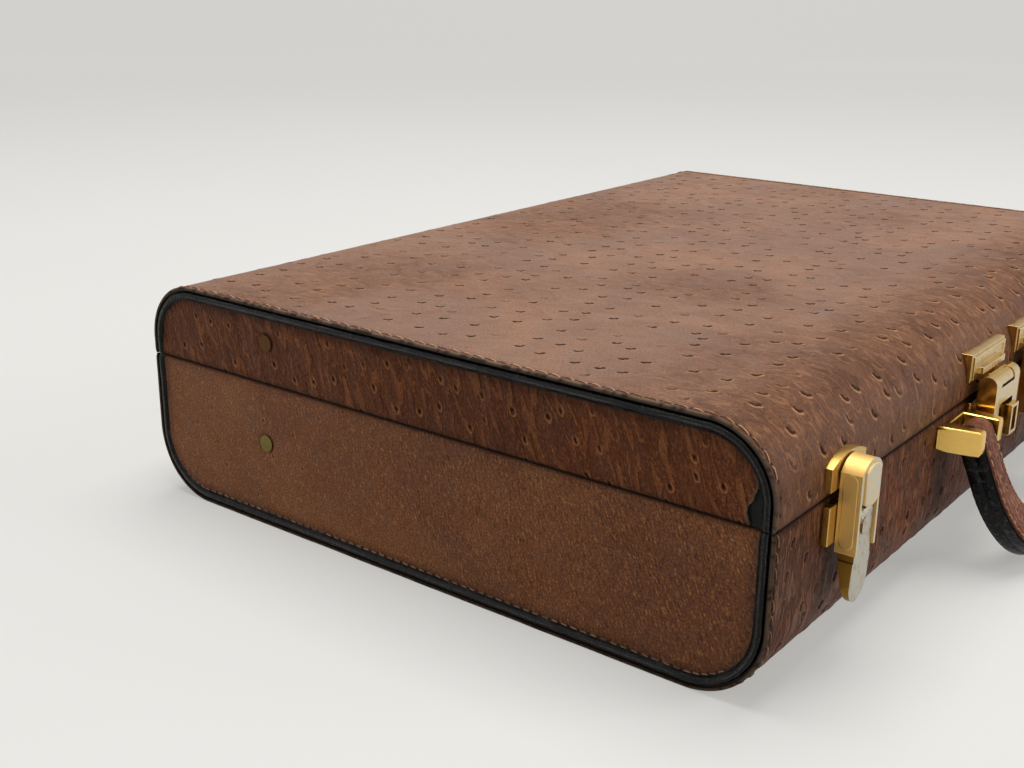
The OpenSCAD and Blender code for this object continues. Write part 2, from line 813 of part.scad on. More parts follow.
module handle_bushes() {
    color(BRASS_DULL) in_handle() for (s = [-1, 1]) difference() {
        bar_x(handle_pin_r + bush_t, s * handle_pitch / 2 - leg_w / 2, s * handle_pitch / 2 + leg_w / 2, 0, 0);
        bar_x(handle_pin_r + run_gap, -handle_half_w - cut, handle_half_w + cut, 0, 0);
    }
}

// Rivet through one end of the case: outer head, shank, boss and inner head of an arm at x0 to x1
module stay_rivet(y, z, x0, x1) {
    bar_x(rivet_head_r, panel_x, panel_x + 0.7, y, z);
    bar_x(rivet_head_r - 0.8, panel_x, panel_x + 1.1, y, z);
    bar_x(rivet_r, x0 - arm_side_gap, panel_x, y, z);
    bar_x(boss_r, x1 + arm_side_gap, inner_x, y, z);
    bar_x(stay_head_r, x0 - arm_side_gap - stay_head_t, x0 - arm_side_gap, y, z);
}

module stay_rivets_base() {
    color(BRASS_DULL) for (s = [-1, 1]) on_side(s) stay_rivet(stay_base_y, stay_base_z, lower_x0, lower_x1);
}

module stay_rivets_lid() {
    color(BRASS_DULL) for (s = [-1, 1]) on_side(s) stay_rivet(stay_lid_y, stay_lid_z, upper_x0, upper_x1);
}

// Arm outline along +Y with round ends at both centres
module arm2d() {
    translate([0, -arm_w / 2]) square([stay_r, arm_w]);
    for (y = [0, stay_r]) translate([y, 0]) circle(arm_w / 2);
}

// Lower arm from the base pivot to the elbow, with a bent lug that stops the upper arm
module stay_lower(s) {
    lug_y = arm_w / 2 + 2.5;
    lug_len = 2;
    // Direction of the upper arm, seen from the lower arm, when the lid is fully open
    open_a = lid_open + stay_upper_a - stay_lower_a;
    lug_z = (arm_w / 2 + side_gap + lug_y * sin(open_a)) / cos(open_a);
    color(BRASS_DULL) on_side(s) difference() {
        translate([0, stay_base_y, stay_base_z]) rotate([stay_lower_a, 0, 0]) {
            along_x(lower_x0, lower_x1) {
                arm2d();
                translate([stay_r, -arm_w / 2]) square([lug_y + lug_len, arm_w]);
            }
            along_x(upper_x0, lower_x0) difference() {
                translate([stay_r + lug_y, -arm_w / 2]) square([lug_len, arm_w]);
                translate([stay_r, -arm_w]) square([2 * arm_w, arm_w + lug_z]);
            }
        }
        bar_x(stay_bore_r, 0, rim_x, stay_base_y, stay_base_z);
        bar_x(rivet_r, 0, rim_x, elbow_y, elbow_z);
    }
}

module stay_elbow(s) {
    color(BRASS) on_side(s) {
        bar_x(stay_head_r, lower_x1, lower_x1 + stay_head_t, elbow_y, elbow_z);
        bar_x(rivet_r, upper_x0 - arm_side_gap, lower_x1, elbow_y, elbow_z);
        bar_x(stay_head_r, upper_x0 - arm_side_gap - stay_head_t, upper_x0 - arm_side_gap, elbow_y, elbow_z);
    }
}

module stay_upper(s) {
    color(BRASS_DULL) on_side(s) difference() {
        translate([0, elbow_y, elbow_z]) rotate([stay_upper_a, 0, 0]) along_x(upper_x0, upper_x1) arm2d();
        bar_x(stay_bore_r, 0, rim_x, elbow_y, elbow_z);
        bar_x(stay_bore_r, 0, rim_x, stay_lid_y, stay_lid_z);
    }
}

base_shell();
base_wrap();
base_end(-1);  // base_end_left
base_end(1);  // base_end_right
base_rim(-1);  // base_rim_left
base_rim(1);  // base_rim_right
base_lining();
base_lip();
hinge_base_leaf();
hinge_pin();
lid_shell();
lid_wrap();
lid_end(-1);  // lid_end_left
lid_end(1);  // lid_end_right
lid_rim(-1);  // lid_rim_left
lid_rim(1);  // lid_rim_right
lid_lining();
lid_pocket();
hinge_lid_leaf();
latch_base(-1);  // latch_base_left
latch_base(1);  // latch_base_right
latch_pivot_pins();
latch_keeper(-1);  // latch_keeper_left
latch_keeper(1);  // latch_keeper_right
latch_lever(-1);  // latch_lever_left
latch_lever(1);  // latch_lever_right
latch_crank_pin(-1);  // latch_crank_pin_left
latch_crank_pin(1);  // latch_crank_pin_right
latch_casing(-1);  // latch_casing_left
latch_casing(1);  // latch_casing_right
lock_body(-1);  // lock_body_left
lock_body(1);  // lock_body_right
lock_slide(-1);  // lock_slide_left
lock_slide(1);  // lock_slide_right
lock_plate(-1);  // lock_plate_left
lock_plate(1);  // lock_plate_right
lock_hinge_pins();
hasp(-1);  // hasp_left
hasp(1);  // hasp_right
handle_bracket(-1);  // handle_bracket_left
handle_bracket(1);  // handle_bracket_right
handle_pins();
handle_core();
handle_leather(-1);  // handle_outer_leather
handle_leather(1);  // handle_inner_leather
handle_bushes();
stay_rivets_base();
stay_rivets_lid();
stay_lower(-1);  // stay_lower_left
stay_lower(1);  // stay_lower_right
stay_elbow(-1);  // stay_elbow_left
stay_elbow(1);  // stay_elbow_right
stay_upper(-1);  // stay_upper_left
stay_upper(1);  // stay_upper_right
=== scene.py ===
"""Looks of a leather-covered attache case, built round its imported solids.

Every length is in metres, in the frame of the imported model: X runs along the case, the handle is on the
-Y side and Z is up. Names that end in _mm, and the sizes of finishes, hides and stitches, are in millimetres.
"""

import json
import logging
import math
from dataclasses import dataclass, field
from enum import Enum
from functools import partial
from typing import Any, Callable, Optional, Sequence

import bmesh
import bpy
import numpy as np
from mathutils import Matrix


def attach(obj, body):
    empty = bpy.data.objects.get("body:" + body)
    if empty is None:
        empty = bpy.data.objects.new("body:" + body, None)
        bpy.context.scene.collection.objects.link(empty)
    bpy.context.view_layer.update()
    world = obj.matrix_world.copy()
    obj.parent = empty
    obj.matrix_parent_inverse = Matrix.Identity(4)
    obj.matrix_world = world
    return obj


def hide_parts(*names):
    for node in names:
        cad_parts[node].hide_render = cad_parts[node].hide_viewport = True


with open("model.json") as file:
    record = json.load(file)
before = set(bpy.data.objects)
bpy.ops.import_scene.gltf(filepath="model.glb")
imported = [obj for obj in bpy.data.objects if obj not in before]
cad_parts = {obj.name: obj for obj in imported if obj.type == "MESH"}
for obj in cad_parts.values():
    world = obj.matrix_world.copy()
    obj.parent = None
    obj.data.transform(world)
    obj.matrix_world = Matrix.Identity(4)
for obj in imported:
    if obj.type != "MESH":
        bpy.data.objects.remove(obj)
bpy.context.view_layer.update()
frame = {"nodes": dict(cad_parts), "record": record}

LOG = logging.getLogger("attache_case")
MM = 0.001
MODES = {"Math": "operation", "VectorMath": "operation", "Mix": "data_type"}
Array = np.ndarray
Socket = bpy.types.NodeSocket
Piece = bpy.types.Object
Colour = tuple[float, float, float, float]
Add = Callable[..., Socket]


# ---- helpers


def linear(code: str) -> Colour:
    """Turn an sRGB hex colour into linear RGBA.

    Args:
        code: Colour such as "#7a4a2c".

    Returns:
        The colour as four linear values.
    """
    levels = [int(code[i : i + 2], 16) / 255 for i in (1, 3, 5)]
    red, green, blue = (c / 12.92 if c <= 0.04045 else ((c + 0.055) / 1.055) ** 2.4 for c in levels)
    return (red, green, blue, 1.0)


def add_node(tree: bpy.types.NodeTree, kind: str, *inputs: Any, out: str = "", **named: Any) -> Socket:
    """Add one node with its settings and inputs; a socket is linked, and any other value is set.

    Args:
        tree: Tree that gets the node.
        kind: Type name, without "ShaderNode" in front, then the operation or data type if it has one.
        *inputs: Its first inputs, in order.
        out: Name of the output that is wanted, if not the first.
        **named: Settings of the node, and inputs, whose names start with a capital.

    Returns:
        The output, or None from a node without one.
    """
    kind, _, mode = kind.partition(" ")
    node = tree.nodes.new(kind if "Node" in kind else f"ShaderNode{kind}")
    if mode:
        setattr(node, MODES[kind], mode)
    for name, value in named.items():
        if name[0].islower():
            setattr(node, name, value)
    pairs = list(zip([socket for socket in node.inputs if socket.enabled], inputs))
    pairs += [(node.inputs[name.replace("_", " ")], named[name]) for name in named if name[0].isupper()]
    for socket, value in pairs:
        if isinstance(value, Socket):
            tree.links.new(value, socket)
        else:
            socket.default_value = value
    return node.outputs[out] if out else next((socket for socket in node.outputs if socket.enabled), None)


def smoothstep(x: Array, low: float, high: float) -> Array:
    """Ease from 0 at low to 1 at high; low may be the larger one."""
    t = np.clip((x - low) / (high - low), 0.0, 1.0)
    return t * t * (3.0 - 2.0 * t)


def bell(x: Array, width: float) -> Array:
    """Smooth bump of height 1 at 0 that falls off over a width."""
    return np.exp(-((x / width) ** 2))


def value_noise(x: Array, y: Array, seed: int) -> Array:
    """Smooth noise between -1 and 1 with features one unit wide.

    Args:
        x: First coordinate.
        y: Second coordinate.
        seed: Number that fixes the pattern.

    Returns:
        The noise at each point.
    """
    lattice = np.random.default_rng(seed).uniform(-1.0, 1.0, (256, 256))
    x0, y0 = np.floor(x).astype(int), np.floor(y).astype(int)
    fx, fy = smoothstep(x - x0, 0.0, 1.0), smoothstep(y - y0, 0.0, 1.0)
    x0, y0, x1, y1 = x0 & 255, y0 & 255, (x0 + 1) & 255, (y0 + 1) & 255
    near = lattice[x0, y0] * (1 - fx) + lattice[x1, y0] * fx
    far = lattice[x0, y1] * (1 - fx) + lattice[x1, y1] * fx
    return near * (1 - fy) + far * fy


def layered_noise(x: Array, y: Array, seed: int) -> Array:
    """Sum of three noises, each half as large and half as strong as the one before."""
    layers = [value_noise(x * 2**k + 17.3 * k, y * 2**k - 9.1 * k, seed + k) / 2**k for k in range(3)]
    return sum(layers) / 1.6


def run_along(line: Array) -> Array:
    """Length along a line of points up to each of them."""
    return np.concatenate([[0.0], np.cumsum(np.linalg.norm(np.diff(line, axis=0), axis=1))])


def read_at(at: Array, run: Array, rows: Array) -> Array:
    """Rows of numbers read at places along their line."""
    return np.stack([np.interp(at, run, column) for column in rows.T], 1)


class Side(Enum):
    """End of the case that a piece belongs to."""

    LEFT = -1
    RIGHT = 1

    @property
    def word(self) -> str:
        """Lower-case name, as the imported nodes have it."""
        return self.name.lower()


class Half(Enum):
    """Half of the case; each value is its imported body."""

    BASE = "base"
    LID = "lid"

    @property
    def up(self) -> int:
        """Direction away from the split: 1 for the lid, -1 for the base."""
        return 1 if self is Half.LID else -1


# ---- finishes


@dataclass(frozen=True)
class Mark:
    """One dark or pale line of a quill, as a band round its middle.

    Attributes:
        radius: Distance of the band from the quill's middle.
        reach: Half width at which the band has faded out.
        solid: Half width up to which it is full.
        arc: Cosines of the angle from the quill's own direction between which it fades in.
    """

    radius: float
    reach: float
    solid: float
    arc: tuple[float, float]

    def strength(self, r: Array, toward: Array) -> Array:
        """How strongly the band shows at a distance and in a direction."""
        return smoothstep(np.abs(r - self.radius), self.reach, self.solid) * smoothstep(toward, *self.arc)


@dataclass(frozen=True)
class Hide:
    """Quills and folds of one piece of ostrich leather.

    Attributes:
        pitch: Spacing of the quills.
        way: Direction along the hide in which each quill opens, toward the side where its shade falls.
        oval: Stretch of a quill along the hide's two directions.
        mouth: The dark line, the quill's own dark and a painted shade on the side that it opens to.
        lip: The pale line.
        fold: Width and length of the folds.
        fibre: Width and length of the fine fibres.
        wave: Height of the soft waves that follow the folds.
        height: Height of a quill.
        depth: Depth of its mouth.
        lean: How far the folds of an end lean sideways with height.
    """

    pitch: float = 15.0
    way: tuple[float, float] = (-0.79, -0.62)
    oval: tuple[float, float] = (1.0, 1.0)
    mouth: Mark = Mark(1.8, 0.85, 0.4, (0.0, 0.5))
    lip: Mark = Mark(3.0, 0.75, 0.2, (0.2, 0.8))
    fold: tuple[float, float] = (3.0, 15.0)
    fibre: tuple[float, float] = (0.9, 4.5)
    wave: float = 0.10
    height: float = 0.3
    depth: float = 0.35
    lean: float = 0.0

    def relief(self, flat: Array, strength: Array) -> Array:
        """Height of the quills above the plain leather.

        Args:
            flat: Places on the flattened hide.
            strength: How strongly quills show at each one.

        Returns:
            Heights.
        """
        gap, draw = nearest_quills(flat, self.pitch)
        gap = gap / np.array(self.oval)
        r = np.hypot(gap[:, 0], gap[:, 1])
        toward = (gap @ np.array(self.way)) / np.maximum(r, 0.05)
        mound = smoothstep(r, 4.2, 0.8) * self.height * (0.7 + 0.3 * toward)
        return strength * (0.5 + 0.5 * draw) * (mound - self.depth * self.mouth.strength(r, toward))


class Finish:
    """Base of the finishes; each one builds its material once."""

    made: dict[Any, bpy.types.Material] = {}

    def material(self) -> bpy.types.Material:
        """Return this finish's material and build it on first use."""
        if self not in Finish.made:
            Finish.made[self] = material = bpy.data.materials.new(self.name)
            material.use_nodes = True
            material.node_tree.nodes.clear()
            add = partial(add_node, material.node_tree)
            add("OutputMaterial", self.surface(add))
        return Finish.made[self]

    def surface(self, add: Add) -> Socket:
        """Shader of the whole surface."""
        return add("BsdfPrincipled", **self.dress(add))

    def dress(self, add: Add) -> dict[str, Any]:
        """Inputs of the surface's shader; each finish has its own."""
        raise NotImplementedError


@dataclass(frozen=True)
class OstrichLeather(Finish):
    """Vegetable-tanned ostrich leather, waxed and worn.

    The eye sees a reddish brown that drifts in patches; folds with dark valleys, a painted shade in their
    hollows and ridges rubbed pale with a painted highlight; raised quills with a dark mouth, partly painted
    shade, and a pale lip; a darkening along every edge; and a soft waxy sheen, partly a painted pale layer on
    the flat of the hide. Unless they are named below, numbers are the strengths of the layer of that name,
    from 0 to 1.

    Attributes:
        name: Name of the material.
        hide: Its quills and folds.
        body: Main colour.
        deep: Darker patches.
        pale: Rubbed places, and a painted highlight on the ridges of the folds.
        dark: Grime and shade.
        fold_depth: Height of the folds.
        fold_dark: Strength of the dark valleys.
        bent_mouth: Strength of the quills' mouths where the hide bends.
        roughness: Lowest and highest roughness.
        specular: Strength of the gloss.
    """

    name: str
    hide: Hide
    body: str
    deep: str
    pale: str
    dark: str = "#1d0d07"
    fold_depth: float = 0.16
    fold_dark: float = 0.7
    hollow: float = 0.2
    ridge: float = 0.25
    cloud: float = 0.5
    grit: float = 0.3
    bent_mouth: float = 1.0
    blotch: float = 0.0
    painted_sheen: float = 0.0
    crack: float = 0.0
    pebble: float = 0.25
    lip_pale: float = 0.2
    fleck: float = 0.35
    roughness: tuple[float, float] = (0.38, 0.58)
    specular: float = 0.5
    needle_holes: float = 0.0

    def dress(self, add: Add) -> dict[str, Any]:
        """Colour, roughness and bump from the hide's sizes and the stored marks."""
        flat = add("Attribute", attribute_name="flat", out="Vector")
        stored = ("quills", "soil", "raw", "flex")
        mask = {name: add("Attribute", attribute_name=name, out="Fac") for name in stored}
        # Width and length of each pattern, then detail, roughness and distortion
        fields = {
            "patch": (62.0, 62.0, 5.0, 0.60, 0.6), "cloud": (13.0, 17.0, 4.0, 0.62, 0.8),
            "fold": (*self.hide.fold, 2.0, 0.50, 0.6), "fibre": (*self.hide.fibre, 3.0, 0.65, 0.6),
            "grain": (0.9, 0.9, 3.0, 0.70, 0.0),
        }
        noise = {}
        for name, (across, along, detail, rough, twist) in fields.items():
            scaled = add("VectorMath MULTIPLY", flat, (1 / across, 1 / along, 0.0))
            noise[name] = add(
                "TexNoise", scaled, 1.0, detail, rough, Distortion=twist, noise_dimensions="2D"
            )
        centred = add("Math ABSOLUTE", add("Math SUBTRACT", noise["fold"], 0.5))
        pebbles = add(
            "TexVoronoi", flat, 0.62, Randomness=1.0, voronoi_dimensions="2D", feature="DISTANCE_TO_EDGE"
        )
        # Each mask is read from its pattern between two levels
        ramps = {
            "patch": (noise["patch"], 0.36, 0.66), "cloud": (noise["cloud"], 0.52, 0.78),
            "valley": (centred, 0.055, 0.0), "ridge": (noise["fold"], 0.56, 0.72),
            "hollow": (noise["fold"], 0.50, 0.30), "grit": (noise["grain"], 0.56, 0.34),
            "fleck": (noise["fibre"], 0.56, 0.70), "pebble": (pebbles, 0.24, 0.0),
            "crack": (noise["fibre"], 0.45, 0.33),
        }
        mask |= {name: add("MapRange", *ramp) for name, ramp in ramps.items()}
        mask["blotch"] = mask["cloud"]
        for name in ("valley", "ridge", "hollow", "blotch", "crack"):
            mask[name] = add("Math MULTIPLY", mask[name], mask["flex"])
        mask["mouth"], mask["lip"] = self.quill_masks(add, flat, mask["quills"])
        # Where the hide bends, the lips are rubbed pale and the mouths open
        for name, calm, bent in (("lip", 0.45, 1.0), ("mouth", 1.0, self.bent_mouth)):
            worn = add("MapRange", mask["flex"], 0.0, 1.0, calm, bent)
            mask[name] = add("Math MULTIPLY", mask[name], worn)
        # A pale layer on the flat of the hide is a painted sheen
        mask["painted_sheen"] = add("Math SUBTRACT", 1.0, mask["flex"])
        layers = [
            # The pale layer that grows where the hide is flat is a painted sheen.
            ("cloud", self.deep, self.cloud), ("flex", self.deep, 0.40), ("painted_sheen", "#d8c0b0", self.painted_sheen),
            ("fleck", self.pale, self.fleck), ("crack", self.dark, self.crack),
            ("blotch", self.dark, self.blotch), ("grit", self.dark, self.grit),
            # The ridges of the folds turn pale, partly rubbed and partly a painted highlight, and their
            # hollows get a painted shade.
            ("pebble", self.dark, self.pebble), ("ridge", self.pale, self.ridge),
            ("hollow", self.dark, self.hollow), ("valley", self.dark, self.fold_dark),
            # The quills' mouths take their own dark and a painted shade on the side that they open to.
            ("lip", self.pale, self.lip_pale), ("mouth", self.dark, 0.92), ("raw", "#8c7a64", 0.85),
            # The darkening stored at the edges is partly painted shade, plainly so in the groove round a
            # rivet's head.
            ("soil", self.dark, 0.92),
        ]
        bumps = [
            ("fleck", 0.03), ("crack", -0.12 * self.crack), ("grit", -0.05), ("pebble", -0.22 * self.pebble),
            ("ridge", self.fold_depth), ("hollow", -self.fold_depth), ("valley", -0.6 * self.fold_depth),
            ("lip", 0.10), ("mouth", -0.40),
        ]
        if self.needle_holes:
            mask["hole"] = self.hole_mask(add)
            layers.append(("hole", self.dark, self.needle_holes))
            bumps.append(("hole", -0.5))
        colour = add("Mix RGBA", mask["patch"], linear(self.deep), linear(self.body))
        for name, code, amount in layers:
            share = add("Math MULTIPLY", mask[name], amount, use_clamp=True)
            colour = add("Mix RGBA", share, colour, linear(code))
        height = add("Math MULTIPLY", noise["grain"], 0.06)
        for name, amount in bumps:
            height = add("Math MULTIPLY_ADD", mask[name], amount, height)
        shine = add("MapRange", noise["cloud"], 0.3, 0.7, *self.roughness)
        # The mouths and the darkened edges are dry
        for name, amount in (("soil", 0.3), ("mouth", 0.5)):
            shine = add("Math MULTIPLY_ADD", mask[name], amount, shine, use_clamp=True)
        return {
            "Base_Color": colour, "Roughness": shine, "Normal": add("Bump", 1.0, MM, Height=height),
            "Specular_IOR_Level": self.specular,
        }

    def quill_masks(self, add: Add, flat: Socket, quills: Socket) -> list[Socket]:
        """Draw the quills' dark and pale lines.

        Args:
            add: Adds a node to the material.
            flat: Place on the hide.
            quills: How strongly quills show.

        Returns:
            The mouth's and the lip's masks.
        """
        hide = self.hide
        cell = quill_cells(add, flat, hide.pitch)
        gap = add("VectorMath SUBTRACT", flat, cell["Position"])
        gap = add("VectorMath MULTIPLY", gap, (1 / hide.oval[0], 1 / hide.oval[1], 0.0))
        r = add("VectorMath LENGTH", gap)
        toward = add("Math DIVIDE", add("VectorMath DOT_PRODUCT", gap, (*hide.way, 0.0)), r)
        # A ragged line keeps the quills from looking stamped
        ragged = add("TexNoise", flat, 0.7, 3.0, noise_dimensions="2D")
        r = add("Math MULTIPLY_ADD", ragged, 0.9, r)
        draw = add("MapRange", add("SeparateColor", cell["Color"]), -0.1, 0.4)
        shown = add("Math MULTIPLY", draw, quills)
        masks = []
        for mark in (hide.mouth, hide.lip):
            # Half of the ragged line's height is taken off again
            off = add("Math ABSOLUTE", add("Math SUBTRACT", r, mark.radius + 0.45))
            band = add("MapRange", off, mark.reach, mark.solid, interpolation_type="SMOOTHSTEP")
            part = add("MapRange", toward, *mark.arc, interpolation_type="SMOOTHSTEP")
            masks.append(add("Math MULTIPLY", add("Math MULTIPLY", band, part), shown))
        return masks

    def hole_mask(self, add: Add) -> Socket:
        """Draw the needle holes between the stitches of the stored row.

        Args:
            add: Adds a node to the material.

        Returns:
            The mask.
        """
        parts = add("SeparateXYZ", add("Attribute", attribute_name="row", out="Vector")).node.outputs
        run = add("Math PINGPONG", parts[1], parts[2])
        reach = add("VectorMath LENGTH", add("CombineXYZ", parts[0], run))
        return add("MapRange", reach, 1.0, 0.45, interpolation_type="SMOOTHSTEP")


@dataclass(frozen=True)
class EdgePaint(Finish):
    """Edge paint on cut leather: brushed-on black acrylic, satin, lumpy and rubbed grey in scuffs, with a
    painted highlight along the ridge of a rim.
    """

    name: str = "edge_paint_black"
    body: str = "#070708"
    rubbed: str = "#313133"
    worn: float = 0.45
    lump: float = 3.5

    def dress(self, add: Add) -> dict[str, Any]:
        """Lumps of a few millimetres, fine scuffs, and a thin broken painted highlight along the ridge of a
        rim's main ply.
        """
        place = add("TexCoord", out="Object")
        lumps = add("TexNoise", place, 1.0 / (self.lump * MM), 4.0, 0.6)
        scuffs = add("TexNoise", place, 1.0 / (0.8 * MM), 5.0, 0.75, Distortion=0.6)
        worn = add("MapRange", add("Math MULTIPLY", lumps, scuffs), 0.27, 0.40, 0.0, self.worn)
        # The rubbed grey along the ridge of a rim's main ply is a painted highlight
        crest = add("MapRange", add("Attribute", attribute_name="crest", out="Fac"), 0.35, 0.95)
        crest = add("Math MULTIPLY", crest, add("MapRange", scuffs, 0.38, 0.56))
        worn = add("Math MAXIMUM", worn, crest)
        height = add("Math MULTIPLY_ADD", lumps, 3.0, scuffs)
        return {
            "Base_Color": add("Mix RGBA", worn, linear(self.body), linear(self.rubbed)),
            "Roughness": add("MapRange", scuffs, 0.0, 1.0, 0.15, 0.45),
            "Normal": add("Bump", 0.9, 0.16 * MM, Height=height), "Specular_IOR_Level": 0.14,
        }


@dataclass(frozen=True)
class Brass(Finish):
    """Cast brass, polished or satin, with a thin gilding.

    The eye sees a warm metal with hairline scratches and faint cloudy tarnish; outward faces that hands
    and clothes rub have lost their gilding in streaks and show a pale grey-gold.

    Attributes:
        name: Name of the material.
        body: Colour of the gilding.
        rubbed: Colour where it is rubbed off.
        tarnish: Colour of the tarnish.
        rub: Share of the outward faces that is rubbed.
        dim: Strength of the tarnish.
        roughness: Lowest and highest roughness.
    """

    name: str = "brass_polished"
    body: str = "#e2b252"
    rubbed: str = "#cdc5a8"
    tarnish: str = "#7d5a22"
    rub: float = 0.0
    dim: float = 0.35
    roughness: tuple[float, float] = (0.10, 0.22)

    def dress(self, add: Add) -> dict[str, Any]:
        """Clouds of about 9 mm, streaks 1.6 mm wide and 4 mm long, and scratches 0.2 mm wide."""
        place = add("TexCoord", out="Object")
        # Width and height of each pattern, then detail and distortion
        fields = {
            "cloud": (9.0, 9.0, 4.0, 0.4), "streak": (1.6, 4.0, 5.0, 0.5), "scratch": (0.2, 5.0, 2.0, 0.0),
        }
        noise = {}
        for name, (wide, tall, detail, twist) in fields.items():
            scale = (1 / (wide * MM), 1 / (wide * MM), 1 / (tall * MM))
            scaled = add("VectorMath MULTIPLY", place, scale)
            noise[name] = add("TexNoise", scaled, 1.0, detail, 0.6, Distortion=twist)
        facing = add("NewGeometry", out="Normal")
        front = add("VectorMath DOT_PRODUCT", facing, (0.0, -1.0, 0.0))
        front = add("MapRange", front, 0.55, 0.95, 0.0, self.rub)
        bare = add("Math MULTIPLY", add("MapRange", noise["streak"], 0.33, 0.46), front)
        dull = add("MapRange", noise["cloud"], 0.52, 0.30, 0.0, self.dim)
        colour = add("Mix RGBA", dull, linear(self.body), linear(self.tarnish))
        shine = add("MapRange", noise["cloud"], 0.3, 0.7, *self.roughness)
        return {
            "Base_Color": add("Mix RGBA", bare, colour, linear(self.rubbed)),
            "Roughness": add("Math MULTIPLY_ADD", bare, 0.22, shine),
            "Normal": add("Bump", 0.3, 0.03 * MM, Height=noise["scratch"]), "Metallic": 1.0,
        }


@dataclass(frozen=True)
class Thread(Finish):
    """Waxed linen thread, hard-twisted: a tan cord with fine slanting plies and soiled spots."""

    name: str = "thread_waxed_linen"
    body: str = "#c1926a"
    soiled: str = "#6d4527"

    def dress(self, add: Add) -> dict[str, Any]:
        """Slanting plies 0.7 mm apart, and soiled spots of 6 mm."""
        place = add("TexCoord", out="Object")
        # A wave repeats every 0.3 units at a scale of 1
        plies = add("TexWave", place, 0.3 / (0.7 * MM), 1.5, 2.0, bands_direction="DIAGONAL", out="Fac")
        soil = add("MapRange", add("TexNoise", place, 1.0 / (6 * MM), 4.0), 0.42, 0.65)
        return {
            "Base_Color": add("Mix RGBA", soil, linear(self.body), linear(self.soiled)),
            "Normal": add("Bump", 0.5, 0.1 * MM, Height=plies), "Roughness": 0.7,
        }


@dataclass(frozen=True)
class Suede(Finish):
    """Split-leather suede, brushed: a warm tan nap that lies in paler and darker strokes."""

    name: str = "suede_tan"
    body: str = "#a47f58"
    brushed: str = "#94704b"

    def dress(self, add: Add) -> dict[str, Any]:
        """Strokes of the nap some 30 mm long, and fibres, drawn 0.7 mm wide so that they show."""
        place = add("TexCoord", out="Object")
        strokes = add("TexNoise", place, 1.0 / (30 * MM), 6.0, 0.6, Distortion=0.3)
        fibres = add("TexNoise", place, 1.0 / (0.7 * MM), 4.0)
        shade = add("MapRange", strokes, 0.35, 0.65)
        return {
            "Base_Color": add("Mix RGBA", shade, linear(self.body), linear(self.brushed)),
            "Normal": add("Bump", 0.8, 0.25 * MM, Height=fibres), "Roughness": 0.95,
            "Sheen_Weight": 0.35, "Sheen_Roughness": 0.5,
        }


@dataclass(frozen=True)
class Board(Finish):
    """Leather-fibre board, pressed: a dull brown core that shows only at the split's edges."""

    name: str = "fibre_board"
    body: str = "#4a3524"
    fibre: str = "#6b5038"

    def dress(self, add: Add) -> dict[str, Any]:
        """Short fibres about a millimetre long."""
        fibres = add("TexNoise", add("TexCoord", out="Object"), 1.0 / (1.2 * MM), 5.0, 0.7)
        return {
            "Base_Color": add("Mix RGBA", fibres, linear(self.body), linear(self.fibre)),
            "Normal": add("Bump", 0.5, 0.2 * MM, Height=fibres), "Roughness": 0.85,
        }


def looked_at(add: Add) -> Socket:
    """1 for rays of the camera, reflections and glass, which see the stage, and 0 for those that it lights.

    Args:
        add: Adds a node to the material or world.

    Returns:
        The mask.
    """
    path = add("LightPath").node.outputs
    looked = path["Is Camera Ray"]
    for name in ("Is Glossy Ray", "Is Transmission Ray"):
        looked = add("Math MAXIMUM", looked, path[name])
    return looked


@dataclass(frozen=True)
class StudioPaper(Finish):
    """Matt studio paper: an even off-white sweep that keeps soft shadows.

    The eye sees the paper partly as its own pale tone, so it stays white under a plain level of light.

    Attributes:
        name: Name of the material.
        body: Colour that lights the case.
        seen: Colour that is seen.
        mottle: Its fainter patches.
        near: Share of its own tone beside the case.
        far: The same share far away.
    """

    name: str = "studio_paper"
    body: str = "#b4b4b2"
    seen: str = "#e7e6e2"
    mottle: str = "#e2e1dd"
    near: float = 0.45
    far: float = 0.72

    def surface(self, add: Add) -> Socket:
        """Mix the lit paper with its own tone."""
        place = add("TexCoord", out="Object")
        looked = looked_at(add)
        pale = add("Mix RGBA", add("TexNoise", place, 3.0, 6.0), linear(self.seen), linear(self.mottle))
        colour = add("Mix RGBA", looked, linear(self.body), pale)
        paper = add("BsdfPrincipled", Base_Color=colour, Roughness=0.9, Specular_IOR_Level=0.0)
        share = add("MapRange", add("VectorMath LENGTH", place), 0.5, 2.8, self.near, self.far)
        share = add("Math MULTIPLY", looked, share)
        return add("MixShader", share, paper, add("Emission", linear(self.seen), 1.0))


QUILL_RANDOMNESS = 0.72

PIT = Mark(0.0, 0.8, 0.35, (-3.0, -2.0))
RING = Mark(1.35, 0.38, 0.10, (-1.2, 0.1))
LID_HIDE = Hide(15.0, fold=(2.6, 6.5), fibre=(0.7, 1.8))
BASE_HIDE = Hide(13.5, (-0.80, -0.60), mouth=Mark(2.6, 0.75, 0.3, (0.55, 0.85)), fold=(2.6, 12.0))
LID_END_HIDE = Hide(
    12.5, (0.3, -0.95), (1.05, 1.5), PIT, RING, (3.4, 13.0), (0.7, 1.6), 0.42, 0.26, 0.3, 0.3
)
BASE_END_HIDE = Hide(
    18.0, (0.3, -0.95), (0.8, 1.1), PIT, RING, (9.0, 13.0), (0.9, 2.8), 0.06, 0.10, 0.15, 0.4
)
GRIP_HIDE = Hide(7.5, (0.3, -0.95), (0.9, 1.2), PIT, RING, (1.8, 5.0), (0.7, 2.0), 0.10, 0.15, 0.2)

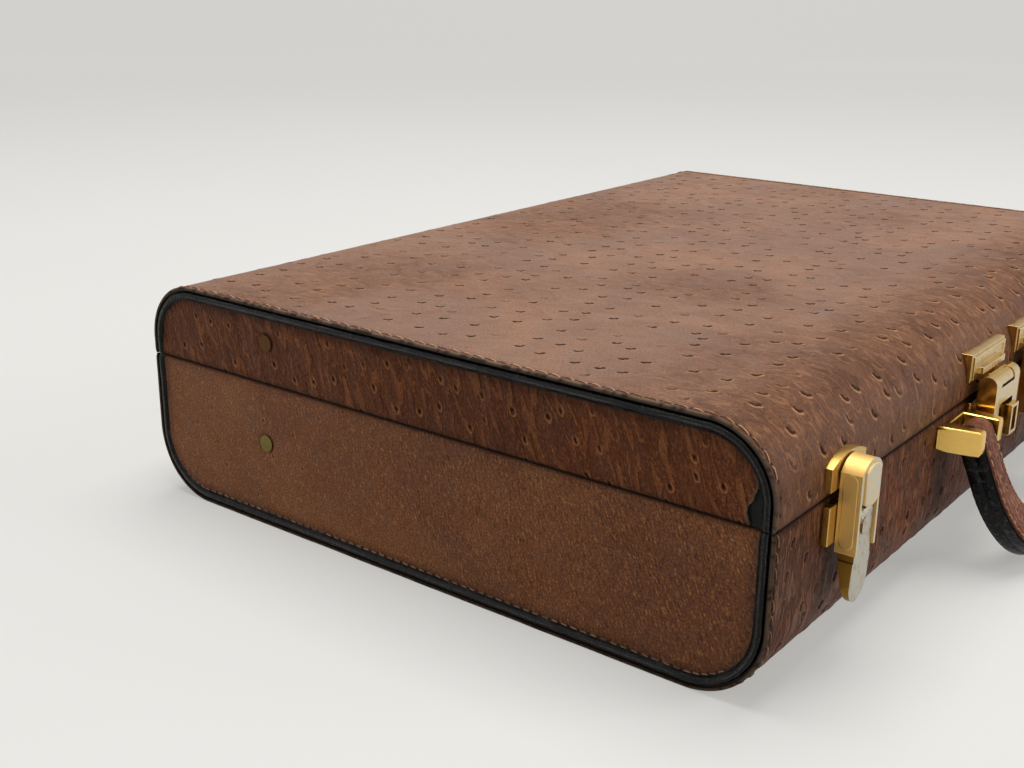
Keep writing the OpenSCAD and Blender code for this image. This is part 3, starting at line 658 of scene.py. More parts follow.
LID_LEATHER = OstrichLeather(
    "leather_ostrich_lid", LID_HIDE, "#905b36", "#76472b", "#c79263", fold_depth=0.12, fold_dark=0.55,
    hollow=0.28, ridge=0.18, cloud=0.28, grit=0.40, bent_mouth=0.85, blotch=0.5, painted_sheen=0.18, fleck=0.25,
    specular=0.2, pebble=0.14, lip_pale=0.6, needle_holes=0.95,
)
BASE_LEATHER = OstrichLeather(
    "leather_ostrich_base", BASE_HIDE, "#904f27", "#62331b", "#bf8c68", fold_depth=0.2, fold_dark=0.9,
    hollow=0.3, ridge=0.2, grit=0.35, crack=0.3, fleck=0.36, lip_pale=0.35, specular=0.1,
    needle_holes=0.95,
)
LID_END_LEATHER = OstrichLeather(
    "leather_ostrich_lid_end", LID_END_HIDE, "#93522b", "#743d1e", "#c18450", fold_depth=0.6,
    fold_dark=0.5, hollow=0.42, ridge=0.14, cloud=0.35, grit=0.45, crack=0.45, fleck=0.46, lip_pale=0.5,
    specular=0.12, pebble=0.2,
)
BASE_END_LEATHER = OstrichLeather(
    "leather_ostrich_base_end", BASE_END_HIDE, "#9d6034", "#834b28", "#cb8f4f", fold_depth=0.03,
    fold_dark=0.12, hollow=0.10, ridge=0.0, cloud=0.35, grit=0.30, crack=0.65, fleck=0.65, lip_pale=0.5,
    specular=0.2, pebble=0.5, needle_holes=0.85,
)
GRIP_LEATHER = OstrichLeather(
    "leather_ostrich_grip", GRIP_HIDE, "#a65836", "#703a24", "#d8a27a", fold_depth=0.16, fleck=0.45,
    crack=0.4, lip_pale=0.5, specular=0.15,
)
EDGE_PAINT = EdgePaint(body="#080707", rubbed="#565451", worn=0.3)
GAP_SHADE_BLACK = EdgePaint("torn_corner_painted_shade", "#020202", "#0b0b0b", 0.4)
SCUFFED_PAINT = EdgePaint("edge_paint_scuffed", "#0a0a0b", "#66666a", 0.75, 2.6)
POLISHED_BRASS = Brass(body="#e5bd68", dim=0.15, roughness=(0.16, 0.30))
PLATE_BRASS = Brass("brass_plate", "#cca556", "#c9c4b0", "#85672e", 0.15, 0.12, (0.22, 0.34))
LEVER_BRASS = Brass("brass_lever", "#94702f", "#b6b3a8", "#4e3b1a", 0.95, 0.25, (0.30, 0.42))
LATCH_BRASS = Brass("brass_latch", "#dcb46c", "#c0bdb0", "#85672e", 0.9, 0.12, (0.46, 0.58))
LOCK_BRASS = Brass("brass_lock", "#d4af66", "#d3cab0", "#6a4a1e", 0.6, 0.30, (0.10, 0.22))
DULL_BRASS = Brass("brass_dull", "#6f6436", "#8a7f5a", "#3d3519", 0.0, 0.5, (0.45, 0.6))
BROWNED_BRASS = Brass("brass_browned", "#53381f", "#6b4c2c", "#2c1a0d", 0.0, 0.5, (0.45, 0.6))
LINEN_THREAD = Thread()
SOILED_THREAD = Thread("thread_soiled", "#8f7358", "#35261b")
TAN_SUEDE = Suede()
BROWN_SUEDE = Suede("suede_brown", "#6d4a30", "#583922")
FIBRE_BOARD = Board()


# ---- mesh making


def linked(name: str, data: bpy.types.ID) -> Piece:
    """Make an object of some data and link it to the scene."""
    thing = bpy.data.objects.new(name, data)
    bpy.context.scene.collection.objects.link(thing)
    return thing


def finish_piece(piece: Piece, finish: Finish, body: str, stands_for: Sequence[str] = ()) -> None:
    """Dress a piece, let it ride on its body and log it.

    Args:
        piece: The object.
        finish: Its finish.
        body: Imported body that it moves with.
        stands_for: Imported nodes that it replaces.
    """
    piece.data.materials.clear()
    piece.data.materials.append(finish.material())
    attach(piece, body)
    if stands_for:
        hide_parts(*stands_for)
    LOG.info("%s rides on %s, %d faces", piece.name, body, len(piece.data.polygons))


def shaded(name: str, shell: bmesh.types.BMesh, angle: float) -> Piece:
    """Turn a shell into a smooth-shaded object.

    Args:
        name: Name of the piece.
        shell: Its shape, which is freed.
        angle: Angle in degrees from which an edge stays sharp.

    Returns:
        The new object.
    """
    mesh = bpy.data.meshes.new(name)
    shell.to_mesh(mesh)
    shell.free()
    mesh.polygons.foreach_set("use_smooth", [True] * len(mesh.polygons))
    mesh.set_sharp_from_angle(angle=math.radians(angle))
    return linked(name, mesh)


def new_piece(name: str, points: Array, faces: Sequence[Sequence[int]]) -> Piece:
    """Make a piece whose faces point outwards.

    Args:
        name: Name of the piece.
        points: Corner points, one a row.
        faces: Corner numbers of each face.

    Returns:
        The new object.
    """
    rough = bpy.data.meshes.new("rough")
    rough.from_pydata(points.tolist(), [], faces)
    shell = bmesh.new()
    shell.from_mesh(rough)
    bpy.data.meshes.remove(rough)
    bmesh.ops.recalc_face_normals(shell, faces=shell.faces)
    return shaded(name, shell, 50)


def grid_faces(rows: int, columns: int) -> list[Sequence[int]]:
    """Quads of a grid whose points are stored row by row."""
    start = (np.arange(rows - 1)[:, None] * columns + np.arange(columns - 1)[None, :]).ravel()
    return np.stack([start, start + 1, start + columns + 1, start + columns], 1).tolist()


def ring_faces(count: int, size: int, first: int = 0) -> list[Sequence[int]]:
    """Quads between closed rings of points.

    Args:
        count: Number of rings.
        size: Number of points in a ring.
        first: Number of the first point.

    Returns:
        The quads.
    """
    start = first + size * np.arange(count - 1)[:, None]
    here, there = np.arange(size)[None, :], (np.arange(size)[None, :] + 1) % size
    corners = [start + here, start + there, start + size + there, start + size + here]
    return np.stack([corner.ravel() for corner in corners], 1).tolist()


def closed_sheet(name: str, front: Array, back: Array) -> Piece:
    """Make a closed sheet from a fine front and a back that spans from the first row to the last.

    Args:
        name: Name of the piece.
        front: Points, rows by columns by 3.
        back: Points of the back behind the first and the last row, 2 by columns by 3.

    Returns:
        The new object.
    """
    rows, columns = front.shape[:2]
    points = np.concatenate([front.reshape(-1, 3), back.reshape(-1, 3)])
    near, far, last = rows * columns, rows * columns + columns, (rows - 1) * columns
    faces = grid_faces(rows, columns)
    for j in range(columns - 1):
        for a, b in ((near, far), (0, near), (last, far)):
            faces.append((a + j, a + j + 1, b + j + 1, b + j))
    for j in (0, columns - 1):
        faces.append([i * columns + j for i in range(rows)] + [far + j, near + j])
    return new_piece(name, points, faces)


def backed_sheet(name: str, front: Array, axis: int, level: float) -> Piece:
    """Make a closed sheet whose back lies at one level of an axis."""
    back = front[[0, -1]].copy()
    back[..., axis] = level
    return closed_sheet(name, front, back)


def long_sheet(name: str, u: Array, front: Array, back: Array) -> Piece:
    """Make a closed sheet that follows a cross-section along the case.

    Args:
        name: Name of the piece.
        u: Places along X.
        front: Y and Z of the face's section, or of each of its points.
        back: Y and Z of the back's section.

    Returns:
        The new object.
    """
    face, rear = np.zeros((len(u), len(back), 3)), np.zeros((2, len(back), 3))
    face[..., 0], face[..., 1:] = u[:, None], front
    rear[..., 0], rear[..., 1:] = u[[0, -1], None], back
    return closed_sheet(name, face, rear)


def swept(name: str, *bodies: Array) -> Piece:
    """Make closed bodies from equal rings of points, each with a flat cap at both ends.

    Args:
        name: Name of the piece.
        *bodies: Points of each body, rings by points by 3.

    Returns:
        The new object.
    """
    faces: list[Sequence[int]] = []
    first = 0
    for rings in bodies:
        count, size = rings.shape[:2]
        faces += ring_faces(count, size, first)
        last = first + (count - 1) * size
        faces += [list(range(first, first + size)), list(range(last, last + size))]
        first = last + size
    return new_piece(name, np.concatenate([rings.reshape(-1, 3) for rings in bodies]), faces)


def set_attributes(piece: Piece, **marks: Array) -> None:
    """Store values of every point on a mesh.

    Args:
        piece: The object.
        **marks: One number or one vector a point, by attribute name.
    """
    for name, values in marks.items():
        kind, key = ("FLOAT_VECTOR", "vector") if values.ndim == 2 else ("FLOAT", "value")
        layer = piece.data.attributes.new(name, kind, "POINT")
        layer.data.foreach_set(key, np.ascontiguousarray(values, np.float32).ravel())


def quill_cells(add: Add, flat: Socket, pitch: float) -> bpy.types.NodeOutputs:
    """Outputs of the cell texture that places the quills, on a mesh and in its material alike."""
    scale = {"Scale": 1.0 / pitch, "Randomness": QUILL_RANDOMNESS}
    return add("TexVoronoi", flat, **scale, voronoi_dimensions="2D").node.outputs


def nearest_quills(flat: Array, pitch: float) -> tuple[Array, Array]:
    """Find the quill nearest to each point with the cell texture that the leather's material uses.

    Args:
        flat: Places on the flattened hide.
        pitch: Spacing of the quills.

    Returns:
        The vector from the nearest quill to each point, and that quill's random number.
    """
    mesh = bpy.data.meshes.new("hide_points")
    mesh.from_pydata(flat.tolist(), [], [])
    cloud = linked("hide_points", mesh)
    tree = bpy.data.node_groups.new("hide_cells", "GeometryNodeTree")
    for way in ("INPUT", "OUTPUT"):
        tree.interface.new_socket("Geometry", in_out=way, socket_type="NodeSocketGeometry")
    add = partial(add_node, tree)
    stored = add("NodeGroupInput")
    cell = quill_cells(add, add("GeometryNodeInputPosition"), pitch)
    for name, kind, key in (("centre", "FLOAT_VECTOR", "Position"), ("draw", "FLOAT_COLOR", "Color")):
        stored = add("GeometryNodeStoreNamedAttribute", stored, data_type=kind, Name=name, Value=cell[key])
    add("NodeGroupOutput", stored)
    cloud.modifiers.new("cells", "NODES").node_group = tree
    dressed = cloud.evaluated_get(bpy.context.evaluated_depsgraph_get()).data
    middles, draws = np.zeros(len(flat) * 3, np.float32), np.zeros(len(flat) * 4, np.float32)
    dressed.attributes["centre"].data.foreach_get("vector", middles)
    dressed.attributes["draw"].data.foreach_get("color", draws)
    bpy.data.objects.remove(cloud)
    bpy.data.node_groups.remove(tree)
    return flat[:, :2] - middles.reshape(-1, 3)[:, :2], draws.reshape(-1, 4)[:, 0]


@dataclass(frozen=True)
class Stitch:
    """Size of the stitches of one seam, each an arched strand whose ends dive into the leather.

    Attributes:
        length: Length of a stitch.
        radius: Radius of the thread.
        lift: Height of the arch's middle.
        slant: Turn of each stitch away from the row, in radians.
        beads: Rings along a stitch.
        sides: Points round it.
    """

    length: float
    radius: float
    lift: float
    slant: float
    beads: int = 7
    sides: int = 7

    def sew(
        self, name: str, thread: Thread, body: str, rows: Sequence[Array], turn: float = 1.0
    ) -> None:
        """Make a row of stitches.

        Args:
            name: Name of the piece.
            thread: Its finish.
            body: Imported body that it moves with.
            rows: Middle of each stitch, its unit direction and the unit direction out of the leather.
            turn: Factor on the slant.
        """
        middles, along, outward = (np.array(row, float) for row in rows)
        draw = np.random.default_rng(len(middles))
        t = np.linspace(-1.0, 1.0, self.beads)
        arch = (1.0 - t**4) * (self.lift + 0.3) - 0.3
        girth = self.radius * (0.6 + 0.4 * (1.0 - t**6))
        angle = np.arange(self.sides) * 2 * math.pi / self.sides
        across = np.cross(along, outward)
        bodies = []
        for k, out in enumerate(outward):
            tilt = draw.normal(self.slant * turn, 0.05)
            line = along[k] * math.cos(tilt) + across[k] * math.sin(tilt)
            reach = self.length / 2 * draw.uniform(0.9, 1.06)
            spine = middles[k] + MM * (t[:, None] * reach * line + arch[:, None] * out)
            ring = np.cos(angle)[:, None] * np.cross(line, out) + 0.8 * np.sin(angle)[:, None] * out
            bodies.append(spine[:, None, :] + MM * girth[:, None, None] * ring[None, :, :])
        finish_piece(swept(name, *bodies), thread, body)


WRAP_STITCH = Stitch(5.4, 0.32, 0.40, 0.20)
END_STITCH = Stitch(3.9, 0.30, 0.12, 0.10)
GRIP_STITCH = Stitch(3.4, 0.36, 0.25, 0.10)
HEM_STITCH = Stitch(3.8, 0.30, 0.25, 0.05)
LIP_STITCH = Stitch(3.8, 0.28, 0.20, 0.05)
POCKET_STITCH = Stitch(3.8, 0.30, 0.20, 0.05)
INSIDE_PITCH = 0.0055


def eased(node: str, radius: float = 0.3, steps: int = 2, shortest: float = 0.0) -> Piece:
    """Copy a packed metal node and round its sharp edges, as tumbling and polishing do.

    Args:
        node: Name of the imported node.
        radius: Size of the rounding in millimetres.
        steps: Number of faces across the rounding; 1 gives a flat chamfer.
        shortest: Length in millimetres of the shortest edge that is rounded.

    Returns:
        The new object.
    """
    shell = bmesh.new()
    shell.from_mesh(frame["nodes"][node].data)
    bmesh.ops.remove_doubles(shell, verts=shell.verts, dist=2e-6)
    bmesh.ops.dissolve_limit(
        shell, angle_limit=math.radians(0.5), use_dissolve_boundaries=False,
        verts=shell.verts, edges=shell.edges,
    )
    sharp = [
        e for e in shell.edges
        if len(e.link_faces) == 2 and e.calc_face_angle(0.0) > math.radians(30)
        and e.calc_length() > shortest * MM
    ]
    bmesh.ops.bevel(
        shell, geom=sharp, offset=radius * MM, offset_type="OFFSET", segments=steps, profile=0.5,
        affect="EDGES", clamp_overlap=True,
    )
    piece = shaded(f"{node}_eased", shell, 30 if steps == 1 else 40)
    piece.modifiers.new("flat faces stay flat", "WEIGHTED_NORMAL").keep_sharp = True
    return piece


# ---- the case


@dataclass(frozen=True)
class CaseSizes:
    """Sizes of the covered case, as in the part's source."""

    wrap_y: float = 0.1642
    wrap_top: float = 0.1052
    rim_x: float = 0.2260
    panel_x: float = 0.2248
    board_x: float = 0.2232
    seam_z: float = 0.0690
    seam_gap: float = 0.0004
    top_r: float = 0.0280
    bottom_r: float = 0.0320
    skin_t: float = 0.0015
    rim_w: float = 0.0060

    def radius(self, half: Half) -> float:
        """Corner radius of one half's cross-section."""
        return self.top_r if half is Half.LID else self.bottom_r

    def height(self, half: Half) -> float:
        """Height of one half from the split to its outer face."""
        gap = self.seam_gap / 2
        return self.wrap_top - self.seam_z - gap if half is Half.LID else self.seam_z - gap

    def level(self, half: Half, rise: Array) -> Array:
        """Z at a distance from the split's edge."""
        return self.seam_z + half.up * (self.seam_gap / 2 + rise)

    def length(self, half: Half) -> float:
        """Length of the cross-section line from the front edge at the split to the back one."""
        r = self.radius(half)
        return 2 * (self.height(half) - r) + math.pi * r + 2 * (self.wrap_y - r)

    def line(self, half: Half, run: Array, inset: Array) -> tuple[Array, Array]:
        """Points of one half's cross-section and their outward directions.

        Args:
            half: Base or lid.
            run: Length along the outer line, from the front edge at the split.
            inset: Distance inside the outer line.

        Returns:
            Points and directions, each with a last axis of Y and Z.
        """
        run, inset = np.broadcast_arrays(np.asarray(run, float), np.asarray(inset, float))
        r, flat_w, quarter = self.radius(half), self.wrap_y - self.radius(half), math.pi / 2
        s1 = self.height(half) - r
        s2 = s1 + r * quarter
        s3 = s2 + 2 * flat_w
        s4 = s3 + r * quarter
        back = quarter + np.clip((run - s3) / r, 0.0, quarter)
        turn = np.where(run < s3, np.clip((run - s1) / r, 0.0, quarter), back)
        y = -flat_w + np.clip(run - s2, 0.0, 2 * flat_w) - (r - inset) * np.cos(turn)
        rise = np.where(run < s1, run, np.where(run > s4, self.length(half) - run, s1))
        place = np.stack([y, self.level(half, rise + (r - inset) * np.sin(turn))], -1)
        return place, np.stack([-np.cos(turn), half.up * np.sin(turn)], -1)

    def half_width(self, half: Half, rise: Array, inset: float) -> Array:
        """Half of the cross-section's width.

        Args:
            half: Base or lid.
            rise: Distance from the split's edge.
            inset: Distance inside the outer line.

        Returns:
            The half width at each height.
        """
        r, straight = self.radius(half), self.height(half) - self.radius(half)
        over = np.clip(rise - straight, 0.0, r - inset)
        return self.wrap_y - r + np.sqrt(np.maximum((r - inset) ** 2 - over**2, 0.0))

    def along(self, half: Half, y: Array, rise: Array) -> tuple[Array, Array]:
        """Inset and run of a point inside the cross-section, near its line.

        Args:
            half: Base or lid.
            y: Place along Y.
            rise: Distance from the split's edge.

        Returns:
            Inset and run.
        """
        r, w, h = self.radius(half), self.wrap_y, self.height(half)
        dy, dz = np.abs(y) - (w - r), rise - (h - r)
        inset = np.where((dy > 0) & (dz > 0), r - np.hypot(dy, dz), np.minimum(w - np.abs(y), h - rise))
        turn = np.where(dy > 0, np.arctan2(np.maximum(dz, 0.0), np.maximum(dy, 1e-9)), math.pi / 2)
        run = np.where(dz <= 0, rise, h - r + r * turn + np.maximum(-dy, 0.0))
        return inset, np.where(y < 0, run, self.length(half) - run)


SIZES = CaseSizes()
NEAR_EDGE = (0.0, 0.00015, 0.0004, 0.0008, 0.0014)
HEM_ROWS = np.arange(0.002, 0.011, 0.0008)


def stations(length: float, step: float, fine: Sequence[float] = NEAR_EDGE) -> Array:
    """Places along a line that crowd at both ends.

    Args:
        length: Length of the line.
        step: Spacing between the ends.
        fine: Places near an end.

    Returns:
        The places in order.
    """
    margin = 0.0022
    middle = np.linspace(margin, length - margin, max(2, round((length - 2 * margin) / step)))
    return np.concatenate([fine, middle, length - np.array(fine)[::-1]])


@dataclass
class Covering:
    """Leather, painted rims and stitching of one half of the case.

    Attributes:
        half: Base or lid.
        wrap_finish: Leather of the long wrap.
        end_finish: Leather of the two ends.
        step: Spacing of the leather's points.
        sizes: Sizes of the case.
        edge_x: Half length of the wrap, whose raw edge stands beside the rim.
        stitch_x: Place of the wrap's stitches along X.
        stitch_in: Inset of the end's stitches.
        wrap_pitch_mm: Spacing of the wrap's stitches.
        end_pitch_mm: Spacing of the end's stitches.
        rivet_r: Radius of the stay rivet's head.
        tear: Width and height of the torn corner of the lid's left end.
    """

    half: Half
    wrap_finish: OstrichLeather
    end_finish: OstrichLeather
    step: float
    sizes: CaseSizes = SIZES
    edge_x: float = 0.2253
    stitch_x: float = 0.2224
    stitch_in: float = 0.0064
    wrap_pitch_mm: float = 6.0
    end_pitch_mm: float = 4.6
    rivet_r: float = 0.0039
    tear: tuple[float, float] = (0.0058, 0.0185)

    @property
    def rivet(self) -> tuple[float, float]:
        """Place of the stay's rivet in Y and Z."""
        return (0.085538, 0.0882) if self.half is Half.LID else (0.088314, 0.0405)

    def build(self) -> None:
        """Make every piece of this half."""
        self.wrap()
        for side in Side:
            self.end(side)
            self.rim(side)
            self.wrap_stitches(side)
            if self.half is Half.BASE:
                self.end_stitches(side)
        if self.half is Half.LID:
            self.torn_corner()

    def dress_relief(
        self, piece: Piece, finish: OstrichLeather, node: str, outward: Array, flat: Array,
        edge: Array, extra: Array, marks: dict[str, Array],
    ) -> None:
        """Raise the leather's face, store what its material reads, and finish the piece.

        Args:
            piece: The sheet, whose first points are its front.
            finish: Its leather.
            node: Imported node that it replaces.
            outward: Outward direction of each front point.
            flat: Place of every point on the flattened hide.
            edge: Distance in millimetres from the turned-in edge at the split.
            extra: Further height in millimetres.
            marks: Values by attribute name.
        """
        count, hide = len(outward), finish.hide
        here, edge = flat[:count], edge[:count]
        wave = value_noise(here[:, 0] / hide.fold[0], here[:, 1] / hide.fold[1], 5) * marks["flex"][:count]
        swell = 0.07 * value_noise(here[:, 0] / 31, here[:, 1] / 31, 9)
        rise = hide.relief(here, marks["quills"][:count]) + swell + hide.wave * wave
        rise = rise * smoothstep(edge, 0.0, 3.0) + extra[:count] - 0.75 * bell(edge, 1.0)
        points = np.zeros(len(piece.data.vertices) * 3, np.float32)
        piece.data.vertices.foreach_get("co", points)
        points = points.reshape(-1, 3)
        points[:count] += (outward * rise[:, None] * MM).astype(np.float32)
        points[:, 2] = np.maximum(points[:, 2], 0.00002)
        piece.data.vertices.foreach_set("co", points.ravel())
        set_attributes(piece, flat=flat, **marks)
        piece.data.update()
        finish_piece(piece, finish, self.half.value, [node])

    def wrap(self) -> None:
        """Make the wrap: one hide from the front edge round to the back edge."""
        s, half = self.sizes, self.half
        length = s.length(half)
        u = stations(2 * self.edge_x, self.step) - self.edge_x
        run = stations(length, self.step)
        place, direction = s.line(half, run, 0.0)
        inner, _ = s.line(half, run, s.skin_t - 0.0002)
        piece = long_sheet(f"{half.value}_wrap_leather", u, place, inner)
        uu = np.repeat(np.append(u, u[[0, -1]]), len(run)) / MM
        rr = np.tile(run, len(u) + 2) / MM
        # The two halves take different parts of the pattern
        flat = np.stack([uu, rr + (700 if half is Half.BASE else 0), np.zeros_like(uu)], 1)
        outward = np.zeros((len(u) * len(run), 3))
        outward[:, 1:] = np.tile(direction, (len(u), 1))
        edge = np.minimum(rr, length / MM - rr)
        from_end = self.edge_x / MM - np.abs(uu)
        row = from_end - (self.edge_x - self.stitch_x) / MM
        paint = smoothstep(layered_noise(rr / 2.5, uu * 0 + 3.0, 77), -0.1, 0.35)
        bend = smoothstep(rr, 92.0, 46.0) if half is Half.LID else np.ones_like(rr)
        patches = 0.12 + 0.5 * smoothstep(value_noise(uu / 70, rr / 70, 6), 0.0, 0.8)
        marks = {
            "quills": smoothstep(from_end, 7.0, 12.0) * smoothstep(edge, 2.0, 6.0),
            # Darker along the split's edge, at the raw edge and in a band beside the rim, with stains of
            # black paint run from the rim
            "soil": np.maximum.reduce([
                bell(edge, 0.9), 0.35 * smoothstep(edge, 4.5, 0.5), paint * smoothstep(from_end, 1.7, 0.5),
                0.6 * smoothstep(from_end, 0.5, 0.1), 0.35 * smoothstep(from_end, 6.0, 2.0),
            ]),
            "raw": np.where(from_end < 0.05, 1.0, 0.35 * smoothstep(from_end, 0.9, 0.3)),
            "flex": np.maximum(bend, patches),
            "row": np.stack([row, rr, np.full_like(rr, self.wrap_pitch_mm / 2)], 1),
        }
        marks["soil"][len(outward) :] = 1.0
        sunk = -0.30 * bell(row, 0.9) + 0.15 * smoothstep(from_end, 1.8, 0.6)
        sunk -= 0.35 * smoothstep(from_end, 0.5, 0.0)
        node = f"{half.value}_wrap"
        self.dress_relief(piece, self.wrap_finish, node, outward, flat, edge, sunk, marks)

    def end(self, side: Side) -> None:
        """Make the leather of one end, tucked under the rim.

        Args:
            side: End of the case.
        """
        s, half = self.sizes, self.half
        inset = s.rim_w - 0.0006
        top = s.height(half) - inset
        rise = stations(top, self.step)
        tail = top - np.array([0.0018, 0.0011, 0.0005, 0.0002, 0.00006, 0.0])
        rise = np.concatenate([rise[rise < tail[0] - 0.0003], tail])
        high = s.half_width(half, rise, inset)
        is_torn = half is Half.LID and side is Side.LEFT
        low = self.torn_away(rise) * is_torn - high
        y = low + (high - low) * np.linspace(0.0, 1.0, round(2 * s.wrap_y / self.step))[:, None]
        front = np.stack([np.full_like(y, side.value * s.panel_x), y, s.level(half, rise) + 0 * y], -1)
        piece = backed_sheet(f"{half.value}_end_leather_{side.word}", front, 0, side.value * s.board_x)
        yy, zz = np.concatenate([front, front[[0, -1]]]).reshape(-1, 3)[:, 1:].T
        rr = np.abs(zz - s.seam_z) - s.seam_gap / 2
        across = side.value * yy + self.end_finish.hide.lean * zz
        # Each end takes its own part of the pattern
        flat = np.stack([across / MM + 1500, zz / MM + 300 * side.value, np.zeros_like(yy)], 1)
        outward = np.zeros((front.shape[0] * front.shape[1], 3))
        outward[:, 0] = side.value
        inset_here, run = s.along(half, yy, rr)
        from_rim, edge = (inset_here - s.rim_w) / MM, rr / MM
        stud = (np.hypot(yy - self.rivet[0], zz - self.rivet[1]) - self.rivet_r) / MM
        torn = (yy + s.half_width(half, rr, inset) - self.torn_away(rr)) / MM
        ragged = smoothstep(torn, 1.3, 0.2) * (rr < self.tear[1]) * is_torn
        frayed = smoothstep(layered_noise(run / MM / 1.7, from_rim / 1.5, 31), -0.1, 0.5)
        frayed *= smoothstep(np.abs(from_rim - 0.5), 0.7, 0.1) * (half is Half.BASE)
        quiet, flex = 1.0, np.ones_like(yy)
        if half is Half.BASE:
            quiet = 0.15 + 0.6 * smoothstep(yy, -0.03, 0.09)
            flex = 0.2 + 0.65 * smoothstep(yy, 0.10, -0.06) + 0.3 * value_noise(yy / 0.05, zz / 0.05, 8)
        marks = {
            "quills": quiet * smoothstep(from_rim, 2.0, 5.0) * smoothstep(stud, 0.5, 3.0),
            # Darker along the split's edge, beside the rim and at the torn edge; the dark ring round the
            # rivet's head is painted shade in its groove
            "soil": np.maximum.reduce([
                bell(edge, 0.9), 0.30 * smoothstep(edge, 4.5, 0.5), 0.95 * bell(from_rim, 0.5),
                0.45 * smoothstep(from_rim, 5.0, 1.0), 0.85 * bell(stud, 0.55), 0.3 * ragged,
            ]),
            "raw": np.maximum(0.55 * frayed, 0.7 * ragged),
            "flex": flex.clip(0.0, 1.0),
            "row": np.stack([
                np.where(zz < 0.013, (inset_here - self.stitch_in) / MM, 9.0), run / MM,
                np.full_like(yy, self.end_pitch_mm / 2),
            ], 1),
        }
        dimple = -0.5 * smoothstep(stud, 2.2, 0.2) + 0.10 * bell(from_rim - 1.5, 1.2)
        node = f"{half.value}_end_{side.word}"
        self.dress_relief(piece, self.end_finish, node, outward, flat, edge, dimple, marks)

    def torn_away(self, rise: Array) -> Array:
        """Width of the gap between the torn corner of the lid's end and its rim."""
        wide, tall = self.tear
        width = wide - 0.0012 * smoothstep(rise, 0.004, 0.0)
        nick = 0.0004 * value_noise(rise / 0.0015, rise * 0, 15)
        return (smoothstep(rise, tall, 0.25 * tall) * width + nick) * (rise < tall)

    def torn_corner(self) -> None:
        """Line the gap of the torn corner with a near-black sheet that stands in for the shade in the gap."""
        s = self.sizes
        y = np.linspace(-(s.wrap_y - 0.0050), -(s.wrap_y - 0.0125), 8)
        z = np.linspace(s.seam_z + s.seam_gap, s.seam_z + self.tear[1], 14)
        yy, zz = np.meshgrid(y, z, indexing="ij")
        dent = 0.0001 * value_noise(yy / 0.002, zz / 0.002, 4)
        front = np.stack([-(s.board_x + 0.00025) + dent, yy, zz], -1)
        piece = backed_sheet("lid_torn_corner_shade", front, 0, -s.board_x)
        # The near-black finish is painted shade in the gap
        finish_piece(piece, GAP_SHADE_BLACK, "lid")

    def rim(self, side: Side) -> None:
        """Make the painted rim: a sunk outer ply, a rounded main ply and a thin one beside the end.

        Args:
            side: End of the case.
        """
        s, half = self.sizes, self.half
        x, w = s.rim_x, s.rim_w
        # Inset and X of the rim's section, round the loop, and how far its lumps may sink it
        section = [
            (w, s.board_x, 0), (w, x - 0.0011, 1), (w - 0.0002, x - 0.0007, 1), (w - 0.0005, x - 0.0007, 1),
            (w - 0.00065, x - 0.0011, 0), (w - 0.0008, x - 0.0007, 1), (w - 0.0012, x - 0.00025, 1),
            (w - 0.0020, x - 0.00002, 1), (w - 0.0029, x - 0.00015, 1), (w - 0.0034, x - 0.00045, 1),
            (w - 0.00365, x - 0.0009, 1), (w - 0.0037, x - 0.0016, 0), (w - 0.0041, x - 0.0020, 0),
            (w - 0.0047, x - 0.0019, 0), (s.skin_t - 0.0003, x - 0.0021, 0),
            (s.skin_t - 0.0003, s.board_x, 0),
        ]
        run = stations(s.length(half), 0.0018, (0.0, 0.0003, 0.0009))
        ends = np.minimum(run, run[-1] - run)
        rings = np.zeros((len(run), len(section), 3))
        for k, (inset, depth, free) in enumerate(section):
            lump = layered_noise(run / 0.005, 0 * run + 0.3 * k, 60 + side.value)
            wander = 0.00024 * free * layered_noise(run / 0.004, 0 * run + 4.1 * k, 71)
            rings[:, k, 1:], _ = s.line(half, run, inset + wander)
            sink = (0.00022 + 0.00022 * lump + 0.0006 * bell(ends, 0.0008)) * free
            rings[:, k, 0] = side.value * (depth - sink)
        rings[..., 2] = np.maximum(rings[..., 2], 0.0)
        piece = swept(f"{half.value}_rim_edge_{side.word}", rings)
        # The crests of the main ply, the section's points 7 and 9, carry a painted highlight line
        crest = np.zeros(rings.shape[:2])
        crest[:, 7] = 0.85 + 0.4 * value_noise(run / 0.02, run * 0, 12)
        crest[:, 9] = 0.6 + 0.6 * value_noise(run / 0.03, run * 0, 13)
        set_attributes(piece, crest=np.clip(crest, 0.0, 1.0).ravel())
        finish_piece(piece, EDGE_PAINT, half.value, [f"{half.value}_rim_{side.word}"])

    def seam(self, pitch_mm: float, inset: float, x: float) -> tuple[Array, ...]:
        """Stitch places along the cross-section.

        Args:
            pitch_mm: Spacing of the stitches.
            inset: Their inset.
            x: Their place along X.

        Returns:
            Run of each stitch, its middle, its direction and the section's outward direction.
        """
        pitch = pitch_mm * MM
        run = np.arange(pitch / 2, self.sizes.length(self.half) - pitch / 2, pitch)
        place, direction = self.sizes.line(self.half, run, inset)
        along = np.column_stack([0 * run, -direction[:, 1], direction[:, 0]])
        return run, np.column_stack([0 * run + x, place]), along, np.column_stack([0 * run, direction])

    def wrap_stitches(self, side: Side) -> None:
        """Sew the wrap to the end along the rim.

        Args:
            side: End of the case.
        """
        half, is_lid = self.half, self.half is Half.LID
        x = side.value * (self.stitch_x + 0.0002)
        run, middles, along, outward = self.seam(self.wrap_pitch_mm, 0.00015, x)
        keep = (middles[:, 2] > 0.003) & (run > (0.018 if is_lid else 0.0))
        WRAP_STITCH.sew(
            f"{half.value}_wrap_stitches_{side.word}", LINEN_THREAD if is_lid else SOILED_THREAD,
            half.value, (middles[keep], along[keep], outward[keep]), -side.value * half.up,
        )

